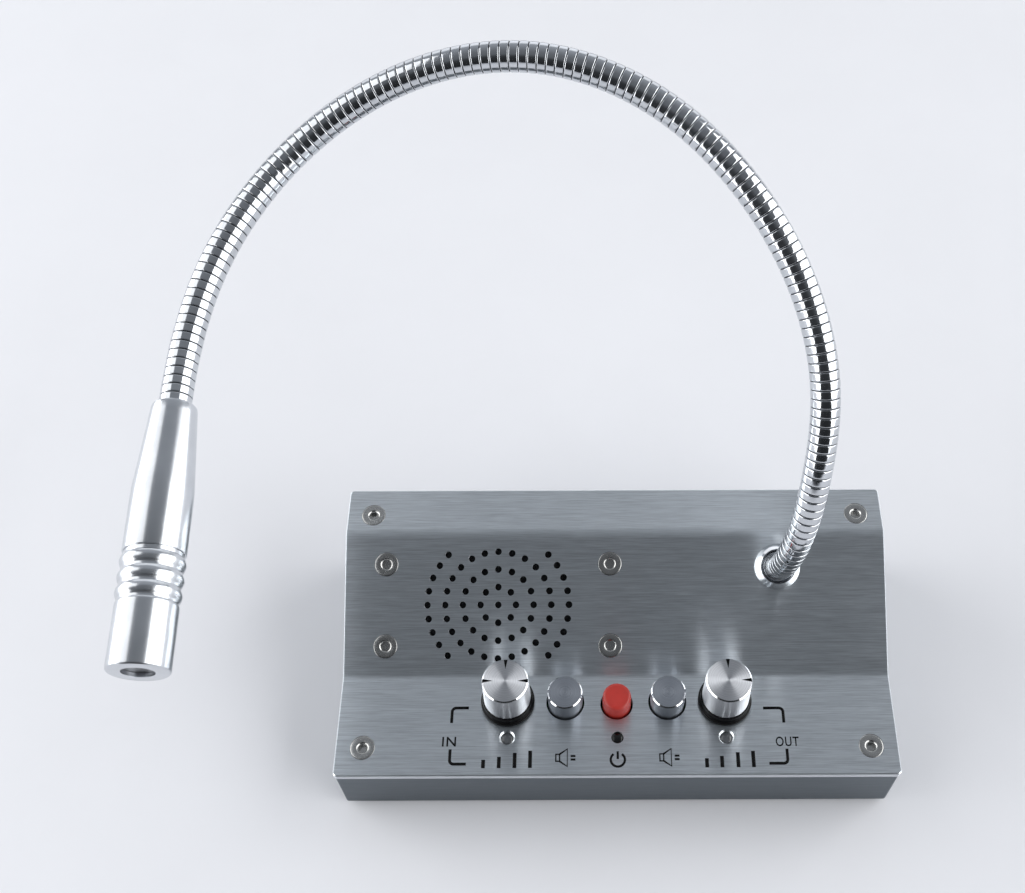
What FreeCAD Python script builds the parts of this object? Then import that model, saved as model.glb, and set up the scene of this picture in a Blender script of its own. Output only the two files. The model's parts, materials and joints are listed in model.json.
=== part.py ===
"""Counter microphone: a folded metal console with a loudspeaker, two volume knobs, three push
buttons and three lamps, and a microphone on a flexible neck.

Millimetres. +Z is up and the front faces -Y. The origin is the middle of the footprint, on the
counter.
"""
import FreeCAD, Part
import math
import os

Vector = FreeCAD.Vector
ACROSS = Vector(1, 0, 0)
BACK = Vector(0, 1, 0)
UP = Vector(0, 0, 1)
ORIGIN = Vector(0, 0, 0)

# Housing
body_width = 180.0
body_depth = 92.7
front_height = 25.3
strip_depth = 33.5
panel_slope = 26.15
panel_length = 47.2
plate_thickness = 2.5
plate_corner = 1.4
plate_edge = 0.35
foot_bend = 3.0
ridge_bend = 7.0
tray_wall = 2.0
tray_inset = 0.3
tray_seam = 0.3
pad_thickness = 2.0
pad_inset = 5.0
pad_corner = 6.0

# Fits
fixed_gap = 0.05
shaft_gap = 0.05
thread_gap = 0.05
hole_gap = 0.15
piece_gap = 0.2

# Countersunk screws and their nuts
screw_radius = 2.0
screw_head_radius = 3.95
screw_head_land = 0.3
screw_head_height = 2.3
screw_length = 10.0
socket_across_flats = 2.5
socket_depth = 1.5
nut_across_flats = 7.0
nut_thickness = 3.2
corner_screw_side = 8.7
corner_screw_front = 9.3
corner_screw_rear = 9.7
post_radius = 4.2
post_thread_depth = 13.0

# Loudspeaker, in the plane of the sloped panel
speaker_left = 51.0
speaker_up = 23.4
grille_pitch = 5.88
grille_hole_radius = 1.15
grille_full_rings = 3
grille_holes_per_ring = 8
grille_side_angle = 45.0
speaker_screw_side = 4.3
speaker_screw_end = 7.0
flange_width = 83.0
flange_height = 41.0
flange_corner = 4.0
flange_thickness = 1.0
gasket_thickness = 1.0
cloth_thickness = 0.3
cloth_radius = 25.0
cloth_half_height = 18.95
opening_margin = 0.2
cone_long = 24.6
cone_short = 18.6
basket_wall = 0.9
basket_depth = 12.5
basket_neck = 13.6
basket_window = 4.2
surround_width = 2.8
surround_thickness = 0.8
cone_depth = 8.0
cone_neck = 6.0
cone_thickness = 0.5
dust_cap_radius = 5.4
dust_cap_rise = 1.9
yoke_plate = 1.5
yoke_radius = 12.5
pole_radius = 4.5
coil_gap_radius = 6.0
magnet_radius = 13.5
magnet_bore = 7.0
magnet_height = 6.0

# Boards
board_thickness = 1.6
control_board_z = 15.2
control_board_side = 24.0
control_board_front = 3.5
control_board_rear = 34.5
main_board_z = 11.0
main_board_side = 16.0
main_board_width = 64.0
main_board_step = 6.85
main_board_depth = 42.0
pillar_radius = 2.5
pillar_margin = 4.0
chip_width = 18.0
chip_depth = 10.0
chip_height = 4.0
capacitor_radius = 4.0
capacitor_height = 12.0
capacitor_pitch = 11.0

# Knobs and their potentiometers
knob_x = 35.3
knob_front = 24.7
knob_height = 17.2
knob_top_radius = 7.3
knob_base_radius = 7.6
knob_chamfer = 0.4
knob_wall = 1.0
knob_top_wall = 1.6
knob_notch_length = 3.0
knob_notch_width = 1.1
knob_notch_depth = 0.35
knob_marks = {"in": (0, 90, 180), "out": (0, 90)}
skirt_lift = 0.5
skirt_flange_radius = 8.7
skirt_flange_height = 1.0
skirt_radius = 8.1
skirt_height = 4.2
skirt_hollow_radius = 6.5
skirt_hollow_height = 3.5
pot_width = 12.0
pot_collar_radius = 4.5
pot_collar_height = 1.5
bushing_radius = 3.5
bushing_rise = 3.1
pot_floor = 1.2
washer_radius = 6.0
washer_thickness = 0.5
pot_nut_across_flats = 10.0
pot_nut_thickness = 2.2
knob_shaft_radius = 3.0
knob_shaft_rise = 13.8

# Push buttons and their switches
button_x = 16.6
button_front = 24.4
button_height = 8.7
button_radius = 5.6
button_hole_radius = 6.2
button_chamfer = 0.45
power_x = 0.1
power_front = 23.7
power_height = 7.0
power_radius = 4.6
power_hole_radius = 5.3
power_edge = 1.1
button_travel = 1.5
button_root_depth = 2.1
stem_radius = 1.6
stem_reach = 5.0
switch_width = 9.0
switch_height = 6.5
switch_floor = 0.5
switch_bore_radius = 2.3
spring_radius = 1.6
spring_wire_radius = 0.17
spring_turns = 3

# Lamps
lamp_x = 35.2
lamp_front = 12.4
power_lamp_x = 0.2
lamp_radius = 1.95
lamp_dome = 0.5
lamp_recess = 0.1
lamp_rim_radius = 2.5
lamp_rim_depth = 0.5

# Gland where the neck leaves the panel, in the plane of the sloped panel
gland_right = 36.2
gland_up = 35.7
gland_radius = 7.6
gland_rim_height = 0.8
gland_top_radius = 5.35
gland_height = 4.0
gland_recess_radius = 4.95
gland_recess_depth = 1.4
gland_thread_radius = 5.0
gland_depth = 8.0
gland_nut_across_flats = 14.0
gland_nut_thickness = 3.0

# Flexible neck: a ringed metal hose in rigid stretches, joined by ball joints
neck_radius = 4.4
neck_groove_depth = 0.45
neck_shoulder_depth = 0.1
neck_shoulder_share = 0.2
neck_bore_radius = 2.4
ring_pitch = 2.66
neck_straight = 9.0
neck_in_gland = 7.0
neck_in_head = 8.0
neck_steps = [
    Vector(2.4, -7.4, 31.57),
    Vector(5.4, 0.9, 55.17),
    Vector(6.1, 16.8, 78.17),
    Vector(-0.9, 37.8, 98.07),
    Vector(-16.9, 58.7, 116.27),
    Vector(-42.0, 78.4, 130.07),
    Vector(-77.1, 89.3, 137.17),
    Vector(-115.7, 88.2, 130.37),
    Vector(-149.2, 73.2, 114.27),
    Vector(-169.8, 41.0, 101.57),
    Vector(-175.47, 1.22, 92.02),
]
head_direction = Vector(0.017, -0.992, -0.123)
neck_joints = [46.0, 130.0, 214.0, 298.0]
joint_half_gap = 1.05
joint_ball_radius = 3.6
joint_cup_gap = 0.3
joint_mouth_slope = 24.0
bore_step = 4.0

# Microphone lead inside the neck
lead_radius = 1.7
lead_joint_gap = 0.6
lead_step = 5.0
lead_bend_radius = 14.0
lead_board_gap = 0.2

# Microphone head, lengths from the end of the neck's visible part
head_length = 74.5
head_rear_radius = 6.15
head_rear_round = 1.2
head_radius = 8.1
head_taper_length = 26.0
head_seam = 43.2
head_wall = 1.4
head_rear_wall = 3.0
bead_count = 3
bead_start = 1.0
bead_pitch = 4.24
bead_rise = 0.25
bead_groove_depth = 0.45
bead_groove_width = 0.8
cap_radius = 8.0
cap_chamfer = 0.5
cap_face_wall = 1.2
mouth_radius = 4.2
spigot_length = 6.0
ferrule_length = 8.0
ferrule_radius = 5.2
mesh_thickness = 0.5
capsule_radius = 4.85
capsule_height = 6.7
holder_height = 9.0
holder_floor = 1.5

# Back wall
socket_right = 50.0
socket_plug_radius = 1.8
socket_depth_inside = 14.0
socket_thread_radius = 3.0
socket_rise = 2.6
socket_body_width = 11.0
socket_nut_across_flats = 8.0
socket_nut_thickness = 1.8
grommet_right = 30.0
grommet_bore_radius = 2.6
grommet_groove_radius = 4.4
grommet_flange_radius = 6.2
grommet_flange_thickness = 2.0

# Places worked out from the sizes above
front_y = -body_depth / 2
back_y = body_depth / 2
tray_floor_z = pad_thickness + tray_wall
strip_z = pad_thickness + front_height
strip_under_z = strip_z - plate_thickness
slope = math.radians(panel_slope)
panel_foot = Vector(0, front_y + strip_depth, strip_z)
panel_along = Vector(0, math.cos(slope), math.sin(slope))
panel_normal = Vector(0, -math.sin(slope), math.cos(slope))
ridge = panel_foot + panel_along * panel_length
top_z = ridge.z
panel_frame = FreeCAD.Placement(panel_foot, FreeCAD.Rotation(ACROSS, panel_slope))
right_x = body_width / 2
knob_y = front_y + knob_front
button_y = front_y + button_front
power_y = front_y + power_front
lamp_y = front_y + lamp_front
corner_screw_x = right_x - corner_screw_side
corner_screws = [
    (side * corner_screw_x, y, z)
    for side in (-1, 1)
    for y, z in ((front_y + corner_screw_front, strip_z), (back_y - corner_screw_rear, top_z))
]
speaker_x = speaker_left - right_x
speaker_screw_x = flange_width / 2 - speaker_screw_side
speaker_screw_up = flange_height / 2 - speaker_screw_end
speaker_screws = [
    (speaker_x + side * speaker_screw_x, speaker_up + row * speaker_screw_up)
    for side in (-1, 1)
    for row in (-1, 1)
]
board_top = control_board_z + board_thickness
control_board_half_width = right_x - control_board_side
main_board_top = main_board_z + board_thickness
main_board_right = right_x - main_board_side
main_board_left = main_board_right - main_board_width
main_board_front = panel_foot.y + main_board_step
main_board_rear = main_board_front + main_board_depth
button_root_z = strip_z - button_root_depth
stem_end_z = button_root_z - stem_reach
switch_top_z = board_top + switch_height
switch_cavity_z = board_top + switch_floor
gland_x = right_x - gland_right
gland_point = panel_frame.multVec(Vector(gland_x, gland_up, 0))
neck_route = [gland_point + step for step in neck_steps]
socket_x = right_x - socket_right
grommet_x = right_x - grommet_right
socket_z = main_board_top + socket_body_width / 2
wall_outside_y = back_y - tray_inset
wall_inside_y = wall_outside_y - tray_wall


def box(x0, x1, y0, y1, z0, z1):
    """Block between two corners."""
    return Part.makeBox(x1 - x0, y1 - y0, z1 - z0, Vector(x0, y0, z0))


def rod(radius, z0, z1, x=0.0, y=0.0):
    """Upright cylinder."""
    return Part.makeCylinder(radius, z1 - z0, Vector(x, y, z0))


def taper(radius0, radius1, z0, z1, x=0.0, y=0.0):
    """Upright cone frustum."""
    return Part.makeCone(radius0, radius1, z1 - z0, Vector(x, y, z0))


def ring(outer, inner, z0, z1, x=0.0, y=0.0):
    """Upright ring."""
    margin = z1 - z0
    return rod(outer, z0, z1, x, y).cut(rod(inner, z0 - margin, z1 + margin, x, y))


def hexagon(across_flats, z0, z1, x=0.0, y=0.0):
    """Upright hexagonal prism."""
    corner = across_flats / math.sqrt(3)
    points = [
        Vector(x + corner * math.cos(k * math.pi / 3), y + corner * math.sin(k * math.pi / 3), z0)
        for k in range(6)
    ]
    face = Part.Face(Part.makePolygon(points + points[:1]))
    return face.extrude(UP * (z1 - z0))


def turned(profile):
    """Solid of revolution about Z from a closed list of (radius, height) points."""
    points = [Vector(radius, 0, height) for radius, height in profile]
    face = Part.Face(Part.makePolygon(points + points[:1]))
    return face.revolve(ORIGIN, UP, 360)


def rounded_outline(points, radii):
    """Closed outline through the points, each corner rounded by its own radius."""
    count = len(points)
    starts, middles, ends = [], [], []
    for i in range(count):
        corner = points[i]
        before = (points[i - 1] - corner).normalize()
        after = (points[(i + 1) % count] - corner).normalize()
        half = before.getAngle(after) / 2
        setback = radii[i] / math.tan(half)
        inward = (before + after).normalize()
        centre = corner + inward * (radii[i] / math.sin(half))
        starts.append(corner + before * setback)
        middles.append(centre - inward * radii[i])
        ends.append(corner + after * setback)
    edges = []
    for i in range(count):
        if radii[i] > 0:
            edges.append(Part.Arc(starts[i], middles[i], ends[i]).toShape())
        edges.append(Part.LineSegment(ends[i], starts[(i + 1) % count]).toShape())
    return Part.Wire(edges)


def rounded_slab(half_width, half_height, corner, z0, z1, x=0.0, y=0.0):
    """Flat slab with rounded corners."""
    points = [
        Vector(x + sx * half_width, y + sy * half_height, z0)
        for sx, sy in ((-1, -1), (1, -1), (1, 1), (-1, 1))
    ]
    face = Part.Face(rounded_outline(points, [corner] * 4))
    return face.extrude(UP * (z1 - z0))


def on_panel(shape, x=0.0, up=0.0):
    """Moves a shape from its own frame to a place on the sloped panel's outer face."""
    place = panel_frame.multiply(FreeCAD.Placement(Vector(x, up, 0), FreeCAD.Rotation()))
    return shape.transformed(place.toMatrix())


def at(shape, point, direction, across=ACROSS):
    """Moves a shape so that its Z axis runs along a direction from a point."""
    turn = FreeCAD.Rotation(across, direction.cross(across), direction, "ZXY")
    return shape.transformed(FreeCAD.Placement(point, turn).toMatrix())


def shift(shape, x=0.0, y=0.0, z=0.0):
    """Moved copy of a shape."""
    return shape.translated(Vector(x, y, z))


def save(name, *shapes):
    """Writes one node; a group of like pieces is a compound of separate solids."""
    solids = []
    for shape in shapes:
        solids += shape.Solids
    for solid in solids:
        if not solid.isValid() or solid.Volume <= 0:
            raise ValueError(name + " holds a solid that is not sound")
    node = solids[0] if len(solids) == 1 else Part.makeCompound(solids)
    node.exportStep("parts/" + name + ".step")
    print(name, len(solids), round(node.Volume, 1))


def plate_line(depth):
    """Side view of the plate's outer face, moved inwards: front, foot, ridge and back points."""
    normals = [UP, panel_normal, UP]
    corners = [panel_foot, ridge]
    line = [Vector(0, front_y, strip_z - depth)]
    for i, corner in enumerate(corners):
        together = normals[i] + normals[i + 1]
        line.append(corner - together * (depth / (1 + normals[i].dot(normals[i + 1]))))
    line.append(Vector(0, back_y, top_z - depth))
    return line


def upright_corner_edges(shape):
    """The four upright edges at the corners of a shape."""
    bounds = shape.BoundBox
    return [
        edge
        for edge in shape.Edges
        if edge.BoundBox.XLength < 0.01 and edge.BoundBox.YLength < 0.01
        and min(abs(edge.BoundBox.XMin - bounds.XMin), abs(edge.BoundBox.XMin - bounds.XMax)) < 0.01
        and min(abs(edge.BoundBox.YMin - bounds.YMin), abs(edge.BoundBox.YMin - bounds.YMax)) < 0.01
    ]


def grille_holes():
    """Drills of the loudspeaker grille, in the panel's frame."""
    drills = [rod(grille_hole_radius, -2 * plate_thickness, plate_thickness)]
    for number in range(1, grille_full_rings + 2):
        count = grille_holes_per_ring * number
        radius = grille_pitch * number
        for k in range(count):
            angle = 360.0 * k / count
            from_side = min(angle % 180.0, 180.0 - angle % 180.0)
            if number > grille_full_rings and from_side > grille_side_angle + 0.01:
                continue
            x = radius * math.cos(math.radians(angle))
            y = radius * math.sin(math.radians(angle))
            drills.append(rod(grille_hole_radius, -2 * plate_thickness, plate_thickness, x, y))
    return [on_panel(drill, speaker_x, speaker_up) for drill in drills]


def screw_seat():
    """Hole and countersink for one screw, its top at Z = 0."""
    seat_radius = screw_head_radius + fixed_gap
    hole_radius = screw_radius + hole_gap
    seat_depth = screw_head_height + fixed_gap
    return turned([
        (0, plate_thickness),
        (seat_radius, plate_thickness),
        (seat_radius, -screw_head_land - fixed_gap),
        (hole_radius, -seat_depth),
        (hole_radius, -2 * plate_thickness),
        (0, -2 * plate_thickness),
    ])


def screw(length):
    """Countersunk screw with a hexagon socket, its head's top at Z = 0."""
    body = turned([
        (0, 0),
        (screw_head_radius, 0),
        (screw_head_radius, -screw_head_land),
        (screw_radius, -screw_head_height),
        (screw_radius, -length),
        (0, -length),
    ])
    return body.cut(hexagon(socket_across_flats, -socket_depth, 1.0))


def top_plate():
    """Folded plate with all its holes."""
    outer = plate_line(0.0)
    inner = plate_line(plate_thickness)
    outline = outer + inner[::-1]
    radii = [0, foot_bend, ridge_bend, 0]
    radii += [0, max(ridge_bend - plate_thickness, plate_edge), foot_bend + plate_thickness, 0]
    side = Part.Face(rounded_outline(outline, radii))
    plate = shift(side.extrude(ACROSS * body_width), -body_width / 2)
    plate = plate.makeFillet(plate_corner, upright_corner_edges(plate))
    top_edges = [
        edge
        for edge in plate.Edges
        if edge.BoundBox.ZLength < 0.01 and edge.BoundBox.YLength < 0.01
        and edge.BoundBox.XLength > body_width / 2
        and abs(edge.BoundBox.YMin) > body_depth / 2 - 0.01
        and min(abs(edge.BoundBox.ZMin - strip_z), abs(edge.BoundBox.ZMin - top_z)) < 0.01
    ]
    plate = plate.makeChamfer(plate_edge, top_edges)
    cuts = [shift(screw_seat(), x, y, z) for x, y, z in corner_screws]
    cuts += [on_panel(screw_seat(), x, up) for x, up in speaker_screws]
    cuts += grille_holes()
    below, above = strip_under_z - 1, strip_z + 1
    for side_x in (-knob_x, knob_x):
        cuts.append(rod(bushing_radius + hole_gap, below, above, side_x, knob_y))
    for side_x in (-button_x, button_x):
        cuts.append(rod(button_hole_radius, below, above, side_x, button_y))
    cuts.append(rod(power_hole_radius, below, above, power_x, power_y))
    lamp_hole = lamp_radius + fixed_gap
    for side_x in (-lamp_x, power_lamp_x, lamp_x):
        cuts.append(rod(lamp_hole, below, above, side_x, lamp_y))
    for side_x in (-lamp_x, lamp_x):
        cuts.append(taper(lamp_hole, lamp_rim_radius, strip_z - lamp_rim_depth, strip_z, side_x, lamp_y))
    gland_hole = rod(gland_thread_radius + hole_gap, -2 * plate_thickness, plate_thickness)
    cuts.append(on_panel(gland_hole, gland_x, gland_up))
    return plate.cut(cuts)


def housing_tray():
    """Open tray under the plate, with the holes in its back wall."""
    line = plate_line(plate_thickness + tray_seam)
    outside = front_y + tray_inset
    line[0].y = outside
    line[-1].y = wall_outside_y
    points = [Vector(0, outside, pad_thickness)] + line + [Vector(0, wall_outside_y, pad_thickness)]
    ridge_inner = max(ridge_bend - plate_thickness, plate_edge)
    radii = [0, 0, foot_bend + plate_thickness, ridge_inner, 0, 0]
    width = body_width - 2 * tray_inset
    side = Part.Face(rounded_outline(points, radii))
    tray = shift(side.extrude(ACROSS * width), -width / 2)
    tray = tray.makeFillet(plate_corner - tray_inset, upright_corner_edges(tray))
    inside = width / 2 - tray_wall
    tray = tray.cut(box(-inside, inside, outside + tray_wall, wall_inside_y, tray_floor_z, 2 * top_z))
    socket_hole = rod(socket_thread_radius + hole_gap, -2 * tray_wall, tray_wall)
    grommet_hole = rod(grommet_groove_radius + fixed_gap, -2 * tray_wall, tray_wall)
    cuts = [
        at(socket_hole, Vector(socket_x, wall_outside_y, socket_z), BACK),
        at(grommet_hole, Vector(grommet_x, wall_outside_y, socket_z), BACK),
    ]
    return tray.cut(cuts)


def corner_posts():
    """Tapped posts that stand on the tray floor and carry the plate."""
    posts = []
    for x, y, z in corner_screws:
        top = z - plate_thickness
        post = rod(post_radius, tray_floor_z, top, x, y)
        posts.append(post.cut(rod(screw_radius + thread_gap, top - post_thread_depth, z, x, y)))
    return posts


def cut_oval(radius, half_height, z0, z1):
    """Round disc with its top and bottom cut off."""
    return rod(radius, z0, z1).common(box(-radius, radius, -half_height, half_height, z0, z1))


def oval_edge(long_radius, short_radius, z):
    """Ellipse across the loudspeaker's axis."""
    if long_radius - short_radius < 0.001:
        return Part.Wire(Part.makeCircle(long_radius, Vector(0, 0, z)))
    ellipse = Part.Ellipse(Vector(0, 0, z), long_radius, short_radius)
    return Part.Wire(ellipse.toShape())


def oval_frustum(long_radius, short_radius, z0, end_radius, z1):
    """Solid between an ellipse and a circle."""
    wires = [oval_edge(long_radius, short_radius, z0), oval_edge(end_radius, end_radius, z1)]
    return Part.makeLoft(wires, True, True)


def loudspeaker():
    """Every piece of the loudspeaker, in the panel's frame, as name and shape."""
    screw_holes = [
        rod(screw_radius + hole_gap, -4 * plate_thickness, 0, x - speaker_x, up - speaker_up)
        for x, up in speaker_screws
    ]
    z_gasket = -plate_thickness
    z_flange = z_gasket - gasket_thickness
    z_basket = z_flange - flange_thickness
    z_neck = z_basket - basket_depth
    half_width, half_height = flange_width / 2, flange_height / 2
    cloth = cut_oval(cloth_radius, cloth_half_height, z_gasket - cloth_thickness, z_gasket)
    mouth = cut_oval(cloth_radius + opening_margin, cloth_half_height + opening_margin, z_flange, 0)
    gasket = rounded_slab(half_width, half_height, flange_corner, z_flange, z_gasket)
    gasket = gasket.cut([mouth] + screw_holes)
    flange = rounded_slab(half_width, half_height, flange_corner, z_basket, z_flange)
    outer = oval_frustum(
        cone_long + basket_wall, cone_short + basket_wall, z_basket, basket_neck + basket_wall, z_neck
    )
    floor = rod(basket_neck + basket_wall, z_neck - basket_wall, z_neck)
    inner = oval_frustum(cone_long, cone_short, z_basket, basket_neck, z_neck)
    way_in = Part.Face(oval_edge(cone_long, cone_short, z_basket)).extrude(UP * (2 * flange_thickness))
    hub = rod(coil_gap_radius, 2 * z_neck, 0)
    middle = (z_basket + z_neck) / 2
    reach = cone_long + cone_short
    window = Part.makeCylinder(basket_window, 2 * reach, Vector(-reach, 0, middle), ACROSS)
    window_up = Part.makeCylinder(basket_window, 2 * reach, Vector(0, -reach, middle), BACK)
    basket = flange.fuse([outer, floor]).removeSplitter()
    basket = basket.cut([inner, way_in, hub, window, window_up] + screw_holes)
    z_surround = z_basket - piece_gap
    rim = piece_gap + (cone_long - basket_neck) * surround_thickness / basket_depth
    edge_long, edge_short = cone_long - 2 * rim, cone_short - 2 * rim
    inner_long, inner_short = edge_long - surround_width, edge_short - surround_width
    disc = Part.Face(oval_edge(edge_long, edge_short, z_surround)).extrude(UP * -surround_thickness)
    hole = Part.Face(oval_edge(inner_long, inner_short, z_basket)).extrude(UP * -2)
    surround = disc.cut(hole)
    cone_outer = oval_frustum(
        inner_long - fixed_gap, inner_short - fixed_gap, z_surround, cone_neck, z_surround - cone_depth
    )
    cone = cone_outer.cut(shift(cone_outer, z=cone_thickness))
    z_cap = z_surround - cone_depth + cone_thickness + fixed_gap
    ball_radius = (dust_cap_radius**2 + dust_cap_rise**2) / (2 * dust_cap_rise)
    ball = Part.makeSphere(ball_radius, Vector(0, 0, z_cap + dust_cap_rise - ball_radius))
    cap = ball.common(box(-ball_radius, ball_radius, -ball_radius, ball_radius, z_cap, z_basket))
    z_front_plate = z_neck - basket_wall
    z_magnet = z_front_plate - yoke_plate
    z_yoke = z_magnet - magnet_height
    front_plate = ring(yoke_radius, coil_gap_radius, z_magnet, z_front_plate)
    pole = rod(pole_radius, z_yoke, z_front_plate)
    back_plate = rod(yoke_radius, z_yoke - yoke_plate, z_yoke)
    magnet = ring(magnet_radius, magnet_bore, z_yoke, z_magnet)
    return {
        "grille_cloth": [cloth],
        "speaker_gasket": [gasket],
        "speaker_basket": [basket],
        "speaker_surround": [surround],
        "speaker_cone": [cone],
        "speaker_dust_cap": [cap],
        "speaker_magnet": [magnet],
        "speaker_yoke": [front_plate, pole.fuse(back_plate)],
    }


def speaker_nuts():
    """Nuts that hold the loudspeaker's flange on its screws."""
    top = -plate_thickness - gasket_thickness - flange_thickness
    nuts = []
    for x, up in speaker_screws:
        nut = hexagon(nut_across_flats, top - nut_thickness, top)
        nut = nut.cut(rod(screw_radius + thread_gap, top - 2 * nut_thickness, 0))
        nuts.append(on_panel(nut, x, up))
    return nuts


def pillars(x0, x1, y0, y1, top):
    """Four pillars under the corners of a board."""
    return [
        rod(pillar_radius, tray_floor_z, top, x, y)
        for x in (x0 + pillar_margin, x1 - pillar_margin)
        for y in (y0 + pillar_margin, y1 - pillar_margin)
    ]


def board_parts():
    """Amplifier chip and a row of capacitors on the main board."""
    x = main_board_left + chip_width
    y = main_board_front + chip_depth
    chip = box(x - chip_width / 2, x + chip_width / 2, y - chip_depth / 2, y + chip_depth / 2,
               main_board_top, main_board_top + chip_height)
    row = [
        rod(capacitor_radius, main_board_top, main_board_top + capacitor_height,
            x + k * capacitor_pitch, y + chip_depth + capacitor_radius)
        for k in range(3)
    ]
    return [chip] + row


def pot_body(x):
    """Potentiometer body on the control board, with its threaded bushing through the plate."""
    half = pot_width / 2
    body = box(x - half, x + half, knob_y - half, knob_y + half,
               board_top, strip_under_z - pot_collar_height)
    collar = rod(pot_collar_radius, strip_under_z - pot_collar_height, strip_under_z, x, knob_y)
    bushing = rod(bushing_radius, strip_under_z, strip_z + bushing_rise, x, knob_y)
    bore = rod(knob_shaft_radius + shaft_gap, board_top + pot_floor, strip_z + knob_height, x, knob_y)
    return body.fuse([collar, bushing]).cut(bore)


def pot_washer(x):
    """Washer on the plate."""
    return ring(washer_radius, bushing_radius + fixed_gap, strip_z, strip_z + washer_thickness, x, knob_y)


def pot_nut(x):
    """Nut on the potentiometer's bushing."""
    bottom = strip_z + washer_thickness
    nut = hexagon(pot_nut_across_flats, bottom, bottom + pot_nut_thickness, x, knob_y)
    return nut.cut(rod(bushing_radius + thread_gap, bottom - 1, bottom + knob_height, x, knob_y))


def knob_shaft(x):
    """Turning shaft of a potentiometer."""
    bottom = board_top + pot_floor + piece_gap
    return rod(knob_shaft_radius, bottom, strip_z + knob_shaft_rise, x, knob_y)


def knob_skirt(x):
    """Black core of a knob, with the skirt that hides the nut."""
    core_radius = knob_top_radius - knob_wall - fixed_gap
    core_top = knob_height - knob_top_wall - fixed_gap
    bore = knob_shaft_radius + fixed_gap
    profile = [
        (skirt_hollow_radius, skirt_lift),
        (skirt_flange_radius, skirt_lift),
        (skirt_flange_radius, skirt_lift + skirt_flange_height),
        (skirt_radius, skirt_lift + skirt_flange_height),
        (skirt_radius, skirt_height),
        (core_radius, skirt_height),
        (core_radius, core_top),
        (0, core_top),
        (0, knob_shaft_rise + fixed_gap),
        (bore, knob_shaft_rise + fixed_gap),
        (bore, skirt_hollow_height),
        (skirt_hollow_radius, skirt_hollow_height),
    ]
    return shift(turned(profile), x, knob_y, strip_z)


def knob_cap(x, mark_angles):
    """Turned metal cap of a knob, with marks cut in the rim of its top face."""
    inside = knob_top_radius - knob_wall
    profile = [
        (inside, skirt_height + fixed_gap),
        (knob_base_radius, skirt_height + fixed_gap),
        (knob_top_radius, knob_height - knob_chamfer),
        (knob_top_radius - knob_chamfer, knob_height),
        (0, knob_height),
        (0, knob_height - knob_top_wall),
        (inside, knob_height - knob_top_wall),
    ]
    notch_start = knob_top_radius - knob_chamfer - knob_notch_length
    notch_points = [
        Vector(notch_start, 0, knob_height - knob_notch_depth),
        Vector(knob_top_radius + 1, -knob_notch_width / 2, knob_height - knob_notch_depth),
        Vector(knob_top_radius + 1, knob_notch_width / 2, knob_height - knob_notch_depth),
    ]
    notch = Part.Face(Part.makePolygon(notch_points + notch_points[:1])).extrude(UP)
    notches = [notch.rotated(ORIGIN, UP, angle) for angle in mark_angles]
    return shift(turned(profile).cut(notches), x, knob_y, strip_z)


def silver_button(x):
    """Turned metal button with its stem."""
    profile = [
        (0, strip_z + button_height),
        (button_radius - button_chamfer, strip_z + button_height),
        (button_radius, strip_z + button_height - button_chamfer),
        (button_radius, button_root_z),
        (stem_radius, button_root_z),
        (stem_radius, stem_end_z),
        (0, stem_end_z),
    ]
    return shift(turned(profile), x, button_y)


def power_button():
    """Red moulded button with a rounded edge and its stem."""
    profile = [
        (0, strip_z + power_height),
        (power_radius, strip_z + power_height),
        (power_radius, button_root_z),
        (stem_radius, button_root_z),
        (stem_radius, stem_end_z),
        (0, stem_end_z),
    ]
    button = turned(profile)
    rim = [
        edge
        for edge in button.Edges
        if edge.BoundBox.ZLength < 0.01 and abs(edge.BoundBox.ZMin - strip_z - power_height) < 0.01
        and edge.BoundBox.XLength > power_radius
    ]
    return shift(button.makeFillet(power_edge, rim), power_x, power_y)


def switch_housing(x, y):
    """Switch body on the control board, with the bore that its stem and spring work in."""
    half = switch_width / 2
    body = box(x - half, x + half, y - half, y + half, board_top, switch_top_z)
    return body.cut(rod(switch_bore_radius, switch_cavity_z, strip_z, x, y))


def return_spring(x, y):
    """Coil spring between the floor of a switch and the button's stem."""
    bottom = switch_cavity_z + spring_wire_radius + fixed_gap
    top = stem_end_z - spring_wire_radius - fixed_gap
    quarters = 4 * spring_turns
    rise = (top - bottom) / quarters

    def point(quarter):
        angle = quarter * math.pi / 2
        return Vector(
            x + spring_radius * math.cos(angle), y + spring_radius * math.sin(angle), bottom + rise * quarter
        )

    arcs = [Part.Arc(point(k), point(k + 0.5), point(k + 1)).toShape() for k in range(quarters)]
    path = Part.Wire(arcs)
    start = point(0)
    section = Part.Wire(Part.makeCircle(spring_wire_radius, start, arcs[0].tangentAt(arcs[0].FirstParameter)))
    return path.makePipeShell([section], True, False)


def lamp(x):
    """Light pipe with a domed end, standing on the control board."""
    top = strip_z - lamp_recess
    body = rod(lamp_radius, board_top, top, x, lamp_y)
    ball_radius = (lamp_radius**2 + lamp_dome**2) / (2 * lamp_dome)
    ball = Part.makeSphere(ball_radius, Vector(x, lamp_y, top - ball_radius))
    return body.common(ball.fuse(rod(lamp_radius + 1, board_top - 1, top - lamp_dome, x, lamp_y)))


def neck_gland():
    """Polished ring on the panel, with its threaded shank and the neck's bore."""
    bore = neck_radius + fixed_gap
    profile = [
        (bore, -gland_depth),
        (gland_thread_radius, -gland_depth),
        (gland_thread_radius, 0),
        (gland_radius, 0),
        (gland_radius, gland_rim_height),
        (gland_top_radius, gland_height),
        (gland_recess_radius, gland_height),
        (gland_recess_radius, gland_height - gland_recess_depth),
        (bore, gland_height - gland_recess_depth),
    ]
    return on_panel(turned(profile), gland_x, gland_up)


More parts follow.
